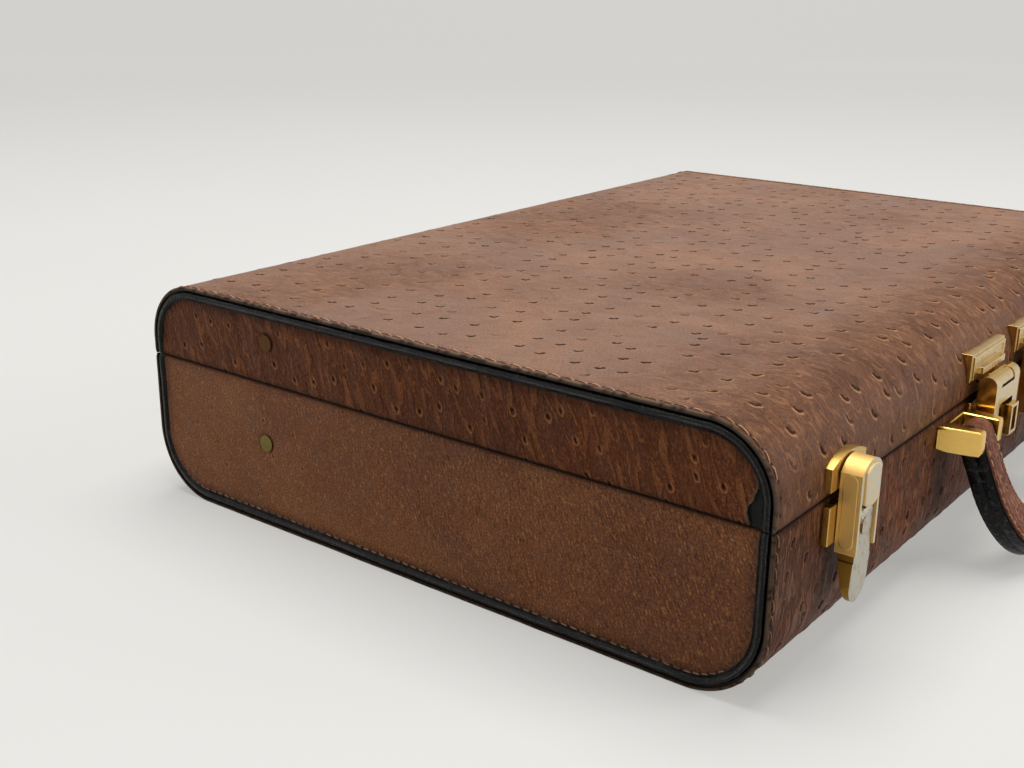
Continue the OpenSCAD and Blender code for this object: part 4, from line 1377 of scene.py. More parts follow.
    def end_stitches(self, side: Side) -> None:
        """Sew the end's leather to the rim, close beside it.

        Args:
            side: End of the case.
        """
        x = side.value * (self.sizes.panel_x - 0.0001)
        _, middles, along, _ = self.seam(self.end_pitch_mm, self.stitch_in, x)
        keep = middles[:, 2] < 0.012
        outward = np.tile([side.value, 0.0, 0.0], (keep.sum(), 1))
        name = f"{self.half.value}_end_stitches_{side.word}"
        rows = (middles[keep], along[keep], outward)
        END_STITCH.sew(name, SOILED_THREAD, self.half.value, rows)


@dataclass
class CarryHandle:
    """The C-shaped handle: painted plies between two strips of ostrich leather.

    Attributes:
        pivot: Place of the pin line in Y and Z.
        lean: Lean from hanging straight down, in degrees.
        half_w: Half width over the two legs.
        leg_w: Width of a leg.
        reach: Distance from the pin line to the grip's outer edge.
        grip_w: Width of the grip.
        outer_r: Radius of the outer corners.
        inner_r: Radius of the inner corners.
        thickness: Thickness over both leather strips.
        skin_t: Thickness of a leather strip.
        step: Spacing of points along the handle.
    """

    pivot: tuple[float, float] = (-0.1750, 0.0610)
    lean: float = 22.99
    half_w: float = 0.0713
    leg_w: float = 0.0156
    reach: float = 0.0635
    grip_w: float = 0.0190
    outer_r: float = 0.0420
    inner_r: float = 0.0280
    thickness: float = 0.0125
    skin_t: float = 0.0016
    step: float = 0.0011

    def rails(self) -> tuple[Array, Array, Array]:
        """Outer and inner edge lines of the C from one pin to the other, and the direction between them."""
        straight, grip = self.reach - self.outer_r, 2 * (self.half_w - self.outer_r)
        legs, bends, middles = (round(x / self.step) for x in (straight, 1.25 * self.outer_r, grip))
        rails = []
        for half, depth, r in (
            (self.half_w, self.reach, self.outer_r),
            (self.half_w - self.leg_w, self.reach - self.grip_w, self.inner_r),
        ):
            line = [(-half, -t * (depth - r)) for t in np.linspace(0, 1, legs, endpoint=False)]
            line += [
                (r - half - r * math.cos(a), r - depth - r * math.sin(a))
                for a in np.linspace(0, math.pi / 2, bends, endpoint=False)
            ]
            line += [(t * (half - r), -depth) for t in np.linspace(-1, 0, middles // 2)]
            rails.append(np.array(line + [(-x, z) for x, z in line[-2::-1]]))
        gap = rails[0] - rails[1]
        return rails[0], rails[1], gap / np.linalg.norm(gap, axis=1)[:, None]

    def placed(self, x: Array, t: Array, z: Array) -> Array:
        """Turn points from the hanging handle's frame to the leaning one.

        Args:
            x: Place along the case.
            t: Place through the handle's thickness.
            z: Height above the pin line.

        Returns:
            The points in the model's frame.
        """
        lean = math.radians(self.lean)
        y = self.pivot[0] + t * math.cos(lean) + z * math.sin(lean)
        return np.stack([x, y, self.pivot[1] - t * math.sin(lean) + z * math.cos(lean)], -1)

    def build(self) -> None:
        """Make the core, the two leather strips and their stitching."""
        self.core()
        for facing, word in ((-1, "outer"), (1, "inner")):
            self.strip(facing, word)
            self.strip_stitches(facing, word)

    def core(self) -> None:
        """Make the plies, whose painted edges show on both sides."""
        outer, inner, across = self.rails()
        half = self.thickness / 2 - self.skin_t
        # Inset from the edge and place through the thickness, with one groove between the two plies
        section = np.array([
            (0.0003, -1.0), (0.0, -0.88), (-0.00012, -0.5), (0.0, -0.16), (0.0005, -0.04), (0.0005, 0.04),
            (0.0, 0.16), (-0.00012, 0.5), (0.0, 0.88), (0.0003, 1.0),
        ])
        sides = []
        for edge, inward, (inset, t) in ((outer, -1, section.T), (inner, 1, section[::-1].T)):
            xz = edge[:, None] + inward * inset[None, :, None] * across[:, None]
            # The ends are rounded over the pins
            xz[[0, -1], :, 1] += half * np.sqrt(np.maximum(0.0, 1 - t**2))
            sides.append(self.placed(xz[..., 0], t * half, xz[..., 1]))
        rings = np.concatenate(sides, axis=1)
        count, size = rings.shape[:2]
        faces = ring_faces(count, size)
        for first in (0, (count - 1) * size):
            for j in range(size // 2 - 1):
                faces.append((first + j, first + j + 1, first + size - 2 - j, first + size - 1 - j))
        piece = new_piece("handle_plies", rings.reshape(-1, 3), faces)
        finish_piece(piece, SCUFFED_PAINT, "handle", ["handle_core"])

    def strip(self, facing: int, word: str) -> None:
        """Make one leather strip, which runs over the round ends at the pins.

        Args:
            facing: -1 for the outer face, 1 for the inner one.
            word: Name of that face.
        """
        outer, inner, across = self.rails()
        run = run_along((outer + inner) / 2)
        low, high, inset = self.thickness / 2 - self.skin_t, self.thickness / 2, 0.0005
        share = np.linspace(0.0, 1.0, 21)
        turn = np.linspace(math.pi / 2, 0.0, 9)[:-1]
        lead = high * (math.pi / 2 - turn) - high * math.pi / 2
        # Point of the rails and angle round the pin for each row of the strip
        at = np.concatenate([0 * turn, np.arange(len(outer)), 0 * turn + len(outer) - 1]).astype(int)
        angle = np.concatenate([turn, 0 * run, turn[::-1]])[:, None]
        place = np.concatenate([lead, run, run[-1] - lead[::-1]]) / MM
        width = np.linalg.norm(outer - inner, axis=1)[at, None] - 2 * inset
        edge = np.minimum(share, 1 - share) * width / MM
        flat = np.zeros((*edge.shape, 3))
        flat[..., 0] = (share - 0.5) * 17 + 2500 + 60 * facing
        flat[..., 1] = place[:, None]
        rise = GRIP_HIDE.relief(flat.reshape(-1, 3), np.full(edge.size, 0.7)).reshape(edge.shape)
        # The leather dips along the stitches, 2.1 mm from its edges, and rounds off at them
        rise = rise * smoothstep(edge, 0.3, 1.6) - 0.34 * bell(edge - 2.1, 0.75)
        rise -= 0.7 * np.exp(-edge / 0.55) + 0.10
        dome = -0.25 * (2 * share - 1) ** 2
        start, end = (inner + inset * across)[at], (outer - inset * across)[at]
        xz = start[:, None] + (end - start)[:, None] * share[:, None]
        faces = []
        for spread, radius in ((xz, high + (np.minimum(rise, 0.05) + dome) * MM), (xz[:, ::-1], low)):
            depth = facing * radius * np.cos(angle)
            faces.append(self.placed(spread[..., 0], depth, spread[..., 1] + radius * np.sin(angle)))
        piece = swept(f"handle_leather_{word}", np.concatenate(faces, axis=1))
        edge = np.concatenate([edge, edge[:, ::-1]], axis=1).ravel()
        set_attributes(
            piece, flat=np.concatenate([flat, flat[:, ::-1]], axis=1).reshape(-1, 3),
            quills=0 * edge + 0.8, flex=0 * edge + 1.0, raw=0 * edge,
            soil=np.maximum(1.2 * smoothstep(edge, 0.9, 0.3), 0.4 * smoothstep(edge, 3.5, 1.0)),
        )
        finish_piece(piece, GRIP_LEATHER, "handle", [f"handle_{word}_leather"])

    def strip_stitches(self, facing: int, word: str) -> None:
        """Sew a strip along both of its edges.

        Args:
            facing: -1 for the outer face, 1 for the inner one.
            word: Name of that face.
        """
        outer, inner, across = self.rails()
        t = facing * (self.thickness / 2 - 0.00055)
        middles, along = [], []
        for edge, inward in ((outer, -1), (inner, 1)):
            line = edge + inward * 0.0022 * across
            run = run_along(line)
            at = np.arange(0.004, run[-1] - 0.004, 0.0042)
            here = read_at(at, run, line)
            way = read_at(at + 0.0005, run, line) - here
            ahead = here + way / np.linalg.norm(way, axis=1)[:, None]
            middle = self.placed(here[:, 0], t, here[:, 1])
            middles.append(middle)
            along.append(self.placed(ahead[:, 0], t, ahead[:, 1]) - middle)
        middles, along = np.concatenate(middles), np.concatenate(along)
        lean = math.radians(self.lean)
        outward = np.tile([0.0, facing * math.cos(lean), -facing * math.sin(lean)], (len(middles), 1))
        rows = (middles, along, outward)
        GRIP_STITCH.sew(f"handle_stitches_{word}", LINEN_THREAD, "handle", rows)


@dataclass(frozen=True)
class Fitting:
    """How one kind of packed metal node is rounded and finished.

    Attributes:
        finish: Its metal.
        radius: Rounding of its edges in millimetres.
        steps: Faces across the rounding.
        shortest: Length in millimetres of the shortest edge that is rounded.
    """

    finish: Finish
    radius: float = 0.3
    steps: int = 2
    shortest: float = 0.0


@dataclass
class Hardware:
    """Metal fittings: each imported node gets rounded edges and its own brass.

    Attributes:
        bracket_x: Middle of a handle bracket.
        bracket_half_w: Half width of a bracket at the case.
        bracket_slant: Narrowing of a bracket's side with its distance from the case.
        pin: Place of the handle's pins in Y and Z.
        pin_r: Their radius.
        stud_r: Radius of the hinge's studs.
        leaf_y: Outer face of the hinge's leaves.
        latch_x: Middle of a latch.
        cheek: Half width, lower end, upper end and Y of the field on a casing's cheek.
        cheek_x: Distance of the cheek from the latch's middle.
        face: Half width, radius of the lower edge and radius of the upper edge of a casing's plate.
        face_z: Lowest point of its lower edge, middle of its upper edge's circle, and its own middle.
        kinds: Fitting by the start of a node's name.
    """

    bracket_x: float = 0.0635
    bracket_half_w: float = 0.0165
    bracket_slant: float = 0.1944
    pin: tuple[float, float] = (-0.1750, 0.0610)
    pin_r: float = 0.00199
    stud_r: float = 0.0019
    leaf_y: float = 0.1650
    latch_x: float = 0.1745
    cheek: tuple[float, float, float, float] = (0.0028, 0.0503, 0.0791, -0.1714)
    cheek_x: float = 0.0085
    face: tuple[float, float, float] = (0.0062, 0.00967, 0.00844)
    face_z: tuple[float, float, float] = (0.0660, 0.07396, 0.0743)
    kinds: dict[str, Fitting] = field(default_factory=lambda: {
        "latch_keeper": Fitting(PLATE_BRASS, 0.35), "latch_base": Fitting(PLATE_BRASS, 0.35),
        "latch_lever": Fitting(LEVER_BRASS, 0.35, shortest=0.6),
        "latch_casing": Fitting(LATCH_BRASS, 0.14, shortest=0.6),
        "lock_body": Fitting(LOCK_BRASS), "lock_slide": Fitting(LOCK_BRASS, 0.35),
        "lock_plate": Fitting(LOCK_BRASS), "hasp": Fitting(LOCK_BRASS),
        "handle_bracket": Fitting(POLISHED_BRASS, 0.9, 1, 2.5),
        "stay_lower": Fitting(DULL_BRASS, 0.25), "stay_upper": Fitting(DULL_BRASS, 0.25),
        "stay_elbow": Fitting(DULL_BRASS, 0.2),
    })

    def build(self) -> None:
        """Round and dress every fitting."""
        record = frame["record"]
        bodies = {node: body for body, nodes in record["behaviour"]["bodies"].items() for node in nodes}
        for node in sorted(bodies):
            kind = next((kind for start, kind in self.kinds.items() if node.startswith(start)), None)
            if kind:
                piece = eased(node, kind.radius, kind.steps, kind.shortest)
                finish_piece(piece, kind.finish, bodies[node], [node])
        self.handle_pins()
        self.hinge_studs()
        for side in Side:
            self.casing_cheeks(side)
            self.casing_front(side)
        for half, finish in ((Half.BASE, DULL_BRASS), (Half.LID, BROWNED_BRASS)):
            node = f"stay_rivets_{half.value}"
            piece = eased(node, 0.2)
            self.sink_heads(piece)
            finish_piece(piece, finish, half.value, [node])

    def hinge_studs(self) -> None:
        """Rivet both leaves of the piano hinge to the case with small domed studs."""
        turn = np.arange(14) * 2 * math.pi / 14
        # Share of the stud's radius, and height in millimetres
        dome = np.array([(1.0, -0.4), (1.0, 0.1), (0.85, 0.35), (0.5, 0.5), (0.15, 0.55)])
        wide, high = self.stud_r * dome[:, :1], MM * dome[:, 1:]
        rings = np.stack([wide * np.cos(turn), self.leaf_y + high + 0 * turn, wide * np.sin(turn)], -1)
        for half, z in ((Half.BASE, 0.0600), (Half.LID, 0.0780)):
            studs = [rings + np.array([x, 0.0, z]) for x in np.linspace(-0.184, 0.184, 11)]
            finish_piece(swept(f"hinge_studs_{half.value}", *studs), POLISHED_BRASS, half.value)

    def casing_cheeks(self, side: Side) -> None:
        """Fill the pill-shaped field of each cheek of a casing, a little proud, over the crank pin's end.

        Args:
            side: Latch that it belongs to.
        """
        wide, low, high, middle = self.cheek
        turn = np.linspace(0.0, math.pi, 15)
        arc = wide * np.column_stack([np.cos(turn), np.sin(turn)])
        outline = np.concatenate([arc + [0.0, high - wide], [0.0, low + wide] - arc])
        gap = outline - [0.0, (low + high) / 2]
        for facing in Side:
            rings = []
            for out, shrink in ((-0.0003, 0.0), (0.00010, 0.0), (0.00020, 0.00014), (0.00020, 0.0004)):
                line = outline - shrink * np.sign(gap) * (np.abs(gap) > 1e-5)
                x = side.value * self.latch_x + facing.value * (self.cheek_x + out)
                rings.append(np.column_stack([0 * line[:, 0] + x, middle + line[:, 0], line[:, 1]]))
            piece = swept(f"latch_cheek_{side.word}_{facing.word}", np.array(rings))
            finish_piece(piece, LATCH_BRASS, f"latch_casing_{side.word}")

    def casing_front(self, side: Side) -> None:
        """Lay the raised arched plate on the front of a casing.

        Args:
            side: Latch that it belongs to.
        """
        (half, lip_r, arch_r), (foot, arch_z, middle) = self.face, self.face_z
        across = np.linspace(-half, half, 17)
        lower = np.column_stack([across, foot + lip_r - np.sqrt(lip_r**2 - across**2)])
        upper = np.column_stack([across[::-1], arch_z + np.sqrt(arch_r**2 - across**2)])
        outline, centre = np.concatenate([lower, upper]), np.array([0.0, middle])
        rings = []
        for y, scale in ((-0.1754, 1.0), (-0.1762, 1.0), (-0.1765, 0.94), (-0.1765, 0.88)):
            line = centre + scale * (outline - centre)
            x = side.value * self.latch_x + line[:, 0]
            rings.append(np.column_stack([x, 0 * x + y, line[:, 1]]))
        piece = swept(f"latch_face_{side.word}", np.array(rings))
        finish_piece(piece, LATCH_BRASS, f"latch_casing_{side.word}")

    def handle_pins(self) -> None:
        """Make the handle's pins, peened and polished flush with the brackets' slanting sides."""
        turn = np.arange(28) * 2 * math.pi / 28
        y, z = self.pin[0] + self.pin_r * np.cos(turn), self.pin[1] + self.pin_r * np.sin(turn)
        reach = self.bracket_half_w + (y + SIZES.wrap_y) * self.bracket_slant + 0.00002
        for side in Side:
            ends = [np.stack([side.value * self.bracket_x + k * reach, y, z], -1) for k in (-1, 1)]
            piece = swept(f"handle_pin_{side.word}", np.array(ends))
            finish_piece(piece, POLISHED_BRASS, "base", ["handle_pins"])

    def sink_heads(self, piece: Piece) -> None:
        """Press the rivets' outer heads almost flush with the leather, slightly crowned.

        Args:
            piece: The rivets.
        """
        flush = SIZES.panel_x + 0.00008
        for point in piece.data.vertices:
            if abs(point.co.x) > flush:
                point.co.x = math.copysign(flush + 0.25 * (abs(point.co.x) - flush), point.co.x)


@dataclass
class Lining:
    """Suede lining of one half, with turned hems, corner cords and stitching.

    Attributes:
        half: Base or lid.
        sizes: Sizes of the case.
        back_in: Inset of its back from the case's outer line.
        face_in: Inset of its visible face.
        back_x: Half length between the backs of its ends.
        face_x: Half length between their faces.
        cord_r: Radius of the cords, less the share that the seam hides.
        hem_mm: Width of the turned hem.
        seam_mm: Distance of the stitches inside the hem's fold.
        step: Spacing of its points.
    """

    half: Half
    sizes: CaseSizes = SIZES
    back_in: float = 0.0055
    face_in: float = 0.0065
    back_x: float = 0.2192
    face_x: float = 0.2182
    cord_r: float = 0.0011
    hem_mm: float = 9.0
    seam_mm: float = 2.2
    step: float = 0.0035

    def build(self) -> None:
        """Make the long panel, the two ends, their cords and the stitches of the hems."""
        self.long_panel()
        for side in Side:
            self.end_panel(side)
            self.cord(side)
        self.hem_stitches()

    def soft(self, a: Array, b: Array, edge: Array) -> Array:
        """Height of the lining's face above the plain sheet.

        Args:
            a: First place along the face, in metres.
            b: Second place along it.
            edge: Distance from the hem's turned edge in millimetres.

        Returns:
            Height in metres.
        """
        slack = 0.22 * value_noise(a / 0.045, b / 0.038, 21) + 0.08 * value_noise(a / 0.012, b / 0.015, 22)
        rise = slack * smoothstep(edge, 6.0, 16.0)
        rise += 0.35 * smoothstep(edge, self.hem_mm + 0.8, self.hem_mm - 0.4)
        rise -= 0.6 * bell(edge, 0.9) + 0.25 * bell(edge - self.hem_mm + self.seam_mm, 0.7)
        return rise * MM

    def long_panel(self) -> None:
        """Make the panel that runs from the front hem round to the back one."""
        s, half = self.sizes, self.half
        length = s.length(half)
        u = stations(2 * self.face_x, self.step) - self.face_x
        run = np.unique(np.concatenate([stations(length, self.step), HEM_ROWS, length - HEM_ROWS]))
        uu, rr = np.meshgrid(u, run, indexing="ij")
        rise = self.soft(uu, rr, np.minimum(rr, length - rr) / MM)
        front, back = s.line(half, rr, self.face_in + rise)[0], s.line(half, run, self.back_in)[0]
        piece = long_sheet(f"{half.value}_lining_long", u, front, back)
        finish_piece(piece, TAN_SUEDE, half.value, [f"{half.value}_lining"])

    def end_panel(self, side: Side) -> None:
        """Make the panel of one end.

        Args:
            side: End of the case.
        """
        s, half = self.sizes, self.half
        rise = stations(s.height(half) - self.back_in, self.step)
        rise = np.unique(np.concatenate([rise, HEM_ROWS]))
        t = np.linspace(-1.0, 1.0, round(2 * s.wrap_y / self.step))
        tt, rr = np.meshgrid(t, rise, indexing="ij")
        y, z = tt * s.half_width(half, rr, self.back_in), s.level(half, rr)
        x = side.value * (self.face_x - self.soft(y + 0.5, z, rr / MM))
        name = f"{half.value}_lining_{side.word}"
        piece = backed_sheet(name, np.stack([x, y, z], -1), 0, side.value * self.back_x)
        finish_piece(piece, TAN_SUEDE, half.value, [f"{half.value}_lining"])

    def cord(self, side: Side) -> None:
        """Lay a covered cord over the seam between the long panel and one end.

        Args:
            side: End of the case.
        """
        half, sunk = self.half, 0.0005
        run = stations(self.sizes.length(half), 0.004)
        turn = np.arange(9) * 2 * math.pi / 9
        place, direction = self.sizes.line(half, run, self.face_in + sunk)
        rings = np.zeros((len(run), len(turn), 3))
        rings[..., 0] = side.value * (self.face_x - sunk) + self.cord_r * np.cos(turn)
        rings[..., 1:] = place[:, None] + self.cord_r * np.sin(turn)[None, :, None] * direction[:, None]
        piece = swept(f"{half.value}_lining_cord_{side.word}", rings)
        finish_piece(piece, BROWN_SUEDE, half.value)

    def hem_stitches(self) -> None:
        """Sew the hems that stay in view: all of them in the lid, the back one in the base."""
        s, half = self.sizes, self.half
        down = (self.hem_mm - self.seam_mm) * MM
        rows = []
        for run in (down, s.length(half) - down)[half is Half.BASE :]:
            place, direction = s.line(half, np.array(run), self.face_in + 0.0001)
            for x in np.arange(-0.211, 0.2111, INSIDE_PITCH):
                rows.append(((x, *place), (1.0, 0.0, 0.0), (0.0, *-direction)))
        if half is Half.LID:
            z = s.seam_z + s.seam_gap / 2 + down
            for side in Side:
                x = side.value * (self.face_x - 0.0001)
                for y in np.arange(-0.150, 0.1501, INSIDE_PITCH):
                    rows.append(((x, y, z), (0.0, 1.0, 0.0), (-side.value, 0.0, 0.0)))
        HEM_STITCH.sew(f"{half.value}_lining_stitches", LINEN_THREAD, half.value, list(zip(*rows)))


@dataclass
class Lip:
    """Suede-covered lip that stands inside the base's edge and guides the lid.

    Attributes:
        out_x: Half length over its sides.
        front_y: Its front face.
        back_y: Ends of its sides.
        low: Its lower edge.
        top: Its upper edge.
        thickness: Its thickness.
        corner_r: Radius of its middle line at the corners.
        end_r: Radius of the upper corner at both ends.
    """

    out_x: float = 0.2182
    front_y: float = -0.1577
    back_y: float = 0.1322
    low: float = 0.0570
    top: float = 0.0735
    thickness: float = 0.0015
    corner_r: float = 0.0040
    end_r: float = 0.0070

    def path(self) -> tuple[Array, Array]:
        """Middle line of the lip and its direction, from the left end round to the right one."""
        x, y, r = self.out_x - self.thickness / 2, self.front_y + self.thickness / 2, self.corner_r
        left = [(-x, v, 0.0, -1.0) for v in np.linspace(self.back_y, y + r, 75)[:-1]]
        left += [
            (r - x - r * math.cos(a), y + r - r * math.sin(a), math.sin(a), -math.cos(a))
            for a in np.linspace(0.0, math.pi / 2, 7)
        ]
        middle = [(v, y, 1.0, 0.0) for v in np.linspace(r - x, x - r, 110)[1:-1]]
        rows = np.array(left + middle + [(-p[0], p[1], p[2], -p[3]) for p in left[::-1]])
        return rows[:, :2], rows[:, 2:]

    def build(self) -> None:
        """Make the covered strip with a rounded top and ends, and its stitches."""
        line, way = self.path()
        run = run_along(line)
        ends = np.minimum(run, run[-1] - run)
        drop = self.end_r * (1 - np.sqrt(1 - np.clip(1 - ends / self.end_r, 0.0, 1.0) ** 2))
        high = self.top - self.low
        # Place through the thickness and height, as shares
        section = [
            (-0.8, 0.0), (-1.0, 0.03), (-1.0, 0.4), (-1.0, 0.75), (-1.0, 0.95), (-0.6, 0.985), (0.0, 1.0),
            (0.6, 0.985), (1.0, 0.95), (0.9, 0.78), (1.0, 0.7), (1.0, 0.4), (1.0, 0.03), (0.8, 0.0),
        ]
        inward = np.stack([-way[:, 1], way[:, 0]], 1)
        rings = np.zeros((len(line), len(section), 3))
        for k, (across, up) in enumerate(section):
            slack = 0.00006 * value_noise(run / 0.03, 0 * run + 0.6 * k, 12)
            rings[:, k, :2] = line + inward * (across * self.thickness / 2 + slack * (across > 0))[:, None]
            rings[:, k, 2] = self.low + up * (high - drop)
        finish_piece(swept("base_lip_cover", rings), BROWN_SUEDE, "base", ["base_lip"])
        at = np.arange(0.009, run[-1] - 0.009, INSIDE_PITCH)
        turned = read_at(at, run, inward)
        turned /= np.linalg.norm(turned, axis=1)[:, None]
        here = read_at(at, run, line) + turned * (self.thickness / 2 - 0.00005)
        middles = np.column_stack([here, 0 * at + self.top - 0.0036])
        along = np.column_stack([turned[:, 1], -turned[:, 0], 0 * at])
        rows = (middles, along, np.column_stack([turned, 0 * at]))
        LIP_STITCH.sew("base_lip_stitches", LINEN_THREAD, "base", rows)


@dataclass
class LidPocket:
    """Soft suede pocket in the lid: a bordered panel on pleated gussets, open towards the handle.

    Attributes:
        half_x: Half of its length.
        half_y: Half of its width.
        low: Lower face of its panel.
        top: Where its gussets meet the lining.
        thickness: Thickness of its panel.
        corner_r: Radius of the two corners at the opening.
        border_mm: Width of the stitched border.
        seam_mm: Distance of the stitches inside the border's inner edge.
    """

    half_x: float = 0.1922
    half_y: float = 0.1200
    low: float = 0.0867
    top: float = 0.0987
    thickness: float = 0.0020
    corner_r: float = 0.0160
    border_mm: float = 9.0
    seam_mm: float = 2.2

    def half_width(self, y: Array) -> Array:
        """Half of the panel's length at a place along Y; the opening's corners are round."""
        over = np.clip(-y - (self.half_y - self.corner_r), 0.0, self.corner_r)
        return self.half_x - self.corner_r + np.sqrt(self.corner_r**2 - over**2)

    def build(self) -> None:
        """Make the panel, the gussets, the bound opening and the stitches."""
        self.panel()
        for side in Side:
            self.gusset(f"lid_pocket_gusset_{side.word}", side)
        self.gusset("lid_pocket_gusset_back", None)
        self.binding()
        self.border_stitches()

    def panel(self) -> None:
        """Make the slack panel with its raised border."""
        y = stations(2 * self.half_y, 0.003) - self.half_y
        y = np.unique(np.concatenate([y, np.arange(0.002, 0.011, 0.0009) - self.half_y]))
        fine = np.array([0.95, 0.955, 0.998, 0.9995])
        t = np.unique(np.concatenate([np.linspace(-1.0, 1.0, 180), -fine, fine]))
        tt, yy = np.meshgrid(t, y, indexing="ij")
        wide = self.half_width(yy)
        x = tt * wide
        edge = np.minimum(wide - np.abs(tt) * wide, self.half_y - np.abs(yy)) / MM
        slack = 0.35 + 0.30 * value_noise(x / 0.05, yy / 0.04, 41)
        slack += 0.1 * value_noise(x / 0.013, yy / 0.017, 42)
        rise = slack * smoothstep(edge, self.border_mm - 0.6, self.border_mm + 1.5)
        rise += 0.9 * bell(edge, 0.8) + 0.2 * bell(edge - self.border_mm + self.seam_mm, 0.7)
        front = np.stack([x, yy, self.low + rise * MM], -1)
        piece = backed_sheet("lid_pocket_panel", front, 2, self.low + self.thickness)
        finish_piece(piece, TAN_SUEDE, "lid", ["lid_pocket"])

    def gusset(self, name: str, side: Optional[Side]) -> None:
        """Make one pleated gusset between the panel and the lining.

        Args:
            name: Name of the piece.
            side: Side that it closes, or None for the back.
        """
        z = np.linspace(self.low + self.thickness - 0.0003, self.top, 13)
        pleat = 0.0007 * (1 - np.cos(np.linspace(0.0, 6 * math.pi, 13)))
        reach = self.half_y - self.corner_r if side else self.half_x - 0.0021
        run = np.linspace(-reach, self.half_y if side else reach, 90)[:, None]
        sway = np.minimum(pleat * (1 + 0.35 * np.sin(run / 0.009) + 0.25 * np.sin(run / 0.023 + 1.0)), 0.0014)
        deep = np.concatenate([sway, sway[:, ::-1] + 0.0006], axis=1)
        edge = self.half_x if side else self.half_y
        across, along = edge - 0.0001 - deep, run + 0 * deep
        x, y = (side.value * across, along) if side else (along, across)
        rings = np.stack([x, y, np.concatenate([z, z[::-1]]) + 0 * deep], -1)
        finish_piece(swept(name, rings), TAN_SUEDE, "lid")

    def rim_line(self, inset: float) -> tuple[Array, Array]:
        """Edge of the opening from left to right.

        Args:
            inset: Distance inside the panel's edge.

        Returns:
            Its points and its outward directions.
        """
        x, y, r = self.half_x - self.corner_r, self.half_y - self.corner_r, self.corner_r - inset
        left = [
            (-x - r * math.cos(a), -y - r * math.sin(a), -math.cos(a), -math.sin(a))
            for a in np.linspace(0.0, math.pi / 2, 12)
        ]
        middle = [(v, -y - r, 0.0, -1.0) for v in np.linspace(-x, x, 120)[1:-1]]
        rows = np.array(left + middle + [(-p[0], p[1], -p[2], p[3]) for p in left[::-1]])
        return rows[:, :2], rows[:, 2:]

    def binding(self) -> None:
        """Bind the edge of the opening with a narrow brown strip folded over it."""
        line, out = self.rim_line(0.0032)
        # Place towards the edge and height of the folded strip, in millimetres
        section = MM * np.array([
            (-1.6, -1.15), (0.0, -1.22), (1.9, -1.2), (2.8, -0.75), (3.1, 0.0), (2.8, 0.8), (1.9, 1.3),
            (0.0, 1.35), (-1.6, 1.25),
        ])
        rings = np.zeros((len(line), len(section), 3))
        rings[..., :2] = line[:, None] + out[:, None] * section[:, :1]
        rings[..., 2] = self.low + self.thickness / 2 + section[:, 1]
        finish_piece(swept("lid_pocket_binding", rings), BROWN_SUEDE, "lid")

    def border_stitches(self) -> None:
        """Sew the border on its three closed sides and the binding along the opening."""
        inset, z = (self.border_mm - self.seam_mm) * MM, self.low + 0.00015
        rows = []
        for side in Side:
            for y in np.arange(-0.103, 0.1121, INSIDE_PITCH):
                rows.append(((side.value * (self.half_x - inset), y, z), (0.0, 1.0, 0.0)))
        for x in np.arange(-0.1821, 0.1822, INSIDE_PITCH):
            rows.append(((x, self.half_y - inset, z), (1.0, 0.0, 0.0)))
        line, out = self.rim_line(0.0038)
        run = run_along(line)
        at = np.arange(0.003, run[-1] - 0.003, INSIDE_PITCH)
        for x, y, a, b in read_at(at, run, np.hstack([line, out])):
            rows.append(((x, y, self.low - 0.0002), (-b, a, 0.0)))
        rows = [(middle, along, (0.0, 0.0, -1.0)) for middle, along in rows]
        POCKET_STITCH.sew("lid_pocket_stitches", LINEN_THREAD, "lid", list(zip(*rows)))


def dress_nodes() -> None:
    """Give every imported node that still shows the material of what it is."""
    finishes: dict[Finish, tuple[str, ...]] = {
        FIBRE_BOARD: ("base_shell", "lid_shell"), POLISHED_BRASS: ("hinge_base_leaf", "hinge_lid_leaf"),
        DULL_BRASS: ("hinge_pin", "handle_bushes"), LOCK_BRASS: ("lock_hinge_pins",),
        LATCH_BRASS: ("latch_pivot_pins", "latch_crank_pin_left", "latch_crank_pin_right"),
    }
    for finish, nodes in finishes.items():
        for node in nodes:
            thing = frame["nodes"][node]
            thing.data.materials.clear()
            thing.data.materials.append(finish.material())
            LOG.info("%s is %s", node, finish.name)


# ---- the stage


def aimed(thing: Piece, axes: Sequence[Array], place: Sequence[float]) -> None:
    """Put a camera or a lamp at a place, with its X, Y and Z along three axes."""
    rows = [[axes[0][i], axes[1][i], axes[2][i], place[i]] for i in range(3)]
    thing.matrix_world = Matrix(rows + [[0.0, 0.0, 0.0, 1.0]])


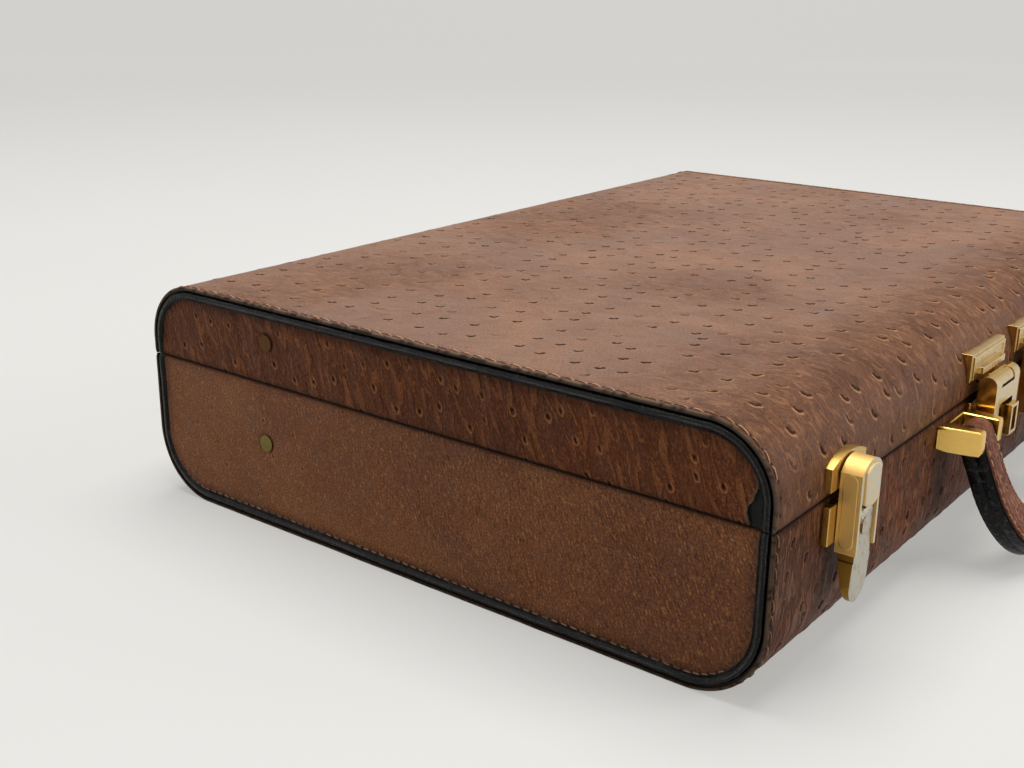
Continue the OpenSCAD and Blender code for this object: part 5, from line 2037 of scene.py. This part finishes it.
@dataclass(frozen=True)
class Studio:
    """Camera at the photograph's place, a white sweep and soft lamps.

    Attributes:
        eye: Place of the camera.
        right: Its direction to the right.
        down: Its direction down.
        forward: Its direction forward.
        lens: Focal length in millimetres on a sensor 36 mm wide.
        lamps: Name, place, target, size and watts of each lamp.
    """

    eye: tuple[float, float, float] = (-0.58753, -0.33589, 0.25062)
    right: tuple[float, float, float] = (0.6176, -0.7865, 0.0079)
    down: tuple[float, float, float] = (-0.2422, -0.1997, -0.9494)
    forward: tuple[float, float, float] = (0.7483, 0.5845, -0.3138)
    lens: float = 45.43
    lamps: tuple[tuple[Any, ...], ...] = (
        ("lamp_above", (0.1, 0.15, 2.1), (0.0, 0.0, 0.05), 1.7, 41.0),
        ("lamp_left", (-1.8, 0.9, 0.7), (-0.1, 0.0, 0.05), 0.9, 5.0),
        ("lamp_front", (1.1, -2.3, 1.2), (0.0, -0.1, 0.03), 1.4, 27.0),
    )

    def build(self) -> None:
        """Make the camera, the sweep, the lamps and the world."""
        scene = bpy.context.scene
        scene.view_settings.view_transform = "Standard"
        camera = bpy.data.cameras.new("photo_camera")
        camera.lens, camera.sensor_width = self.lens, 36.0
        scene.camera = linked("photo_camera", camera)
        aimed(scene.camera, (self.right, -np.array(self.down), -np.array(self.forward)), self.eye)
        self.sweep()
        for lamp in self.lamps:
            self.lamp(*lamp)
        self.world()

    def sweep(self) -> None:
        """Make a floor that curves up into a backdrop far behind the case."""
        turns = np.linspace(0, math.pi / 2, 9)[1:]
        line = [(y, 0.0) for y in np.linspace(-4.0, 3.0, 8)]
        line += [(3.0 + 1.5 * math.sin(a), 1.5 - 1.5 * math.cos(a)) for a in turns] + [(4.5, 4.0)]
        points = np.array([(x, y, z - 0.00005) for x in (-5.0, 5.0) for y, z in line])
        piece = new_piece("studio_sweep", points, grid_faces(2, len(line)))
        # The sweep faces the camera's way in the photograph
        turn = Matrix.Rotation(math.atan2(-self.forward[0], self.forward[1]), 4, "Z")
        piece.data.transform(turn)
        if piece.data.polygons[0].normal.z < 0:
            piece.data.flip_normals()
        piece.data.materials.append(StudioPaper().material())

    def lamp(
        self, name: str, place: Sequence[float], target: Sequence[float], size: float, watts: float
    ) -> None:
        """Hang one soft square lamp.

        Args:
            name: Name of the lamp.
            place: Its place.
            target: Point that it faces.
            size: Length of its side.
            watts: Its power.
        """
        light = bpy.data.lights.new(name, "AREA")
        light.shape, light.size, light.energy = "SQUARE", size, watts
        away = np.array(place) - np.array(target)
        z = away / np.linalg.norm(away)
        x = np.cross([0.0, 1.0, 0.0] if abs(z[1]) < 0.9 else [1.0, 0.0, 0.0], z)
        x = x / np.linalg.norm(x)
        aimed(linked(name, light), (x, np.cross(z, x), z), place)

    def world(self) -> None:
        """Make a plain white surround, which is seen as paper."""
        world = bpy.data.worlds.new("studio_surround")
        bpy.context.scene.world = world
        world.use_nodes = True
        world.node_tree.nodes.clear()
        add = partial(add_node, world.node_tree)
        plain, seen = add("Background", linear("#f4f4f5"), 0.24), add("Background", linear("#e6e6e6"), 1.0)
        add("OutputWorld", add("MixShader", looked_at(add), plain, seen))


def main() -> None:
    """Build the stage and the case, and report each piece."""
    logging.basicConfig(level=logging.INFO, format="%(message)s")
    Studio().build()
    step = 0.0013
    Covering(Half.LID, LID_LEATHER, LID_END_LEATHER, step).build()
    Covering(Half.BASE, BASE_LEATHER, BASE_END_LEATHER, step).build()
    for half in Half:
        Lining(half).build()
    Lip().build()
    LidPocket().build()
    CarryHandle().build()
    Hardware().build()
    dress_nodes()
    bpy.context.view_layer.update()


if __name__ == "__main__":
    main()
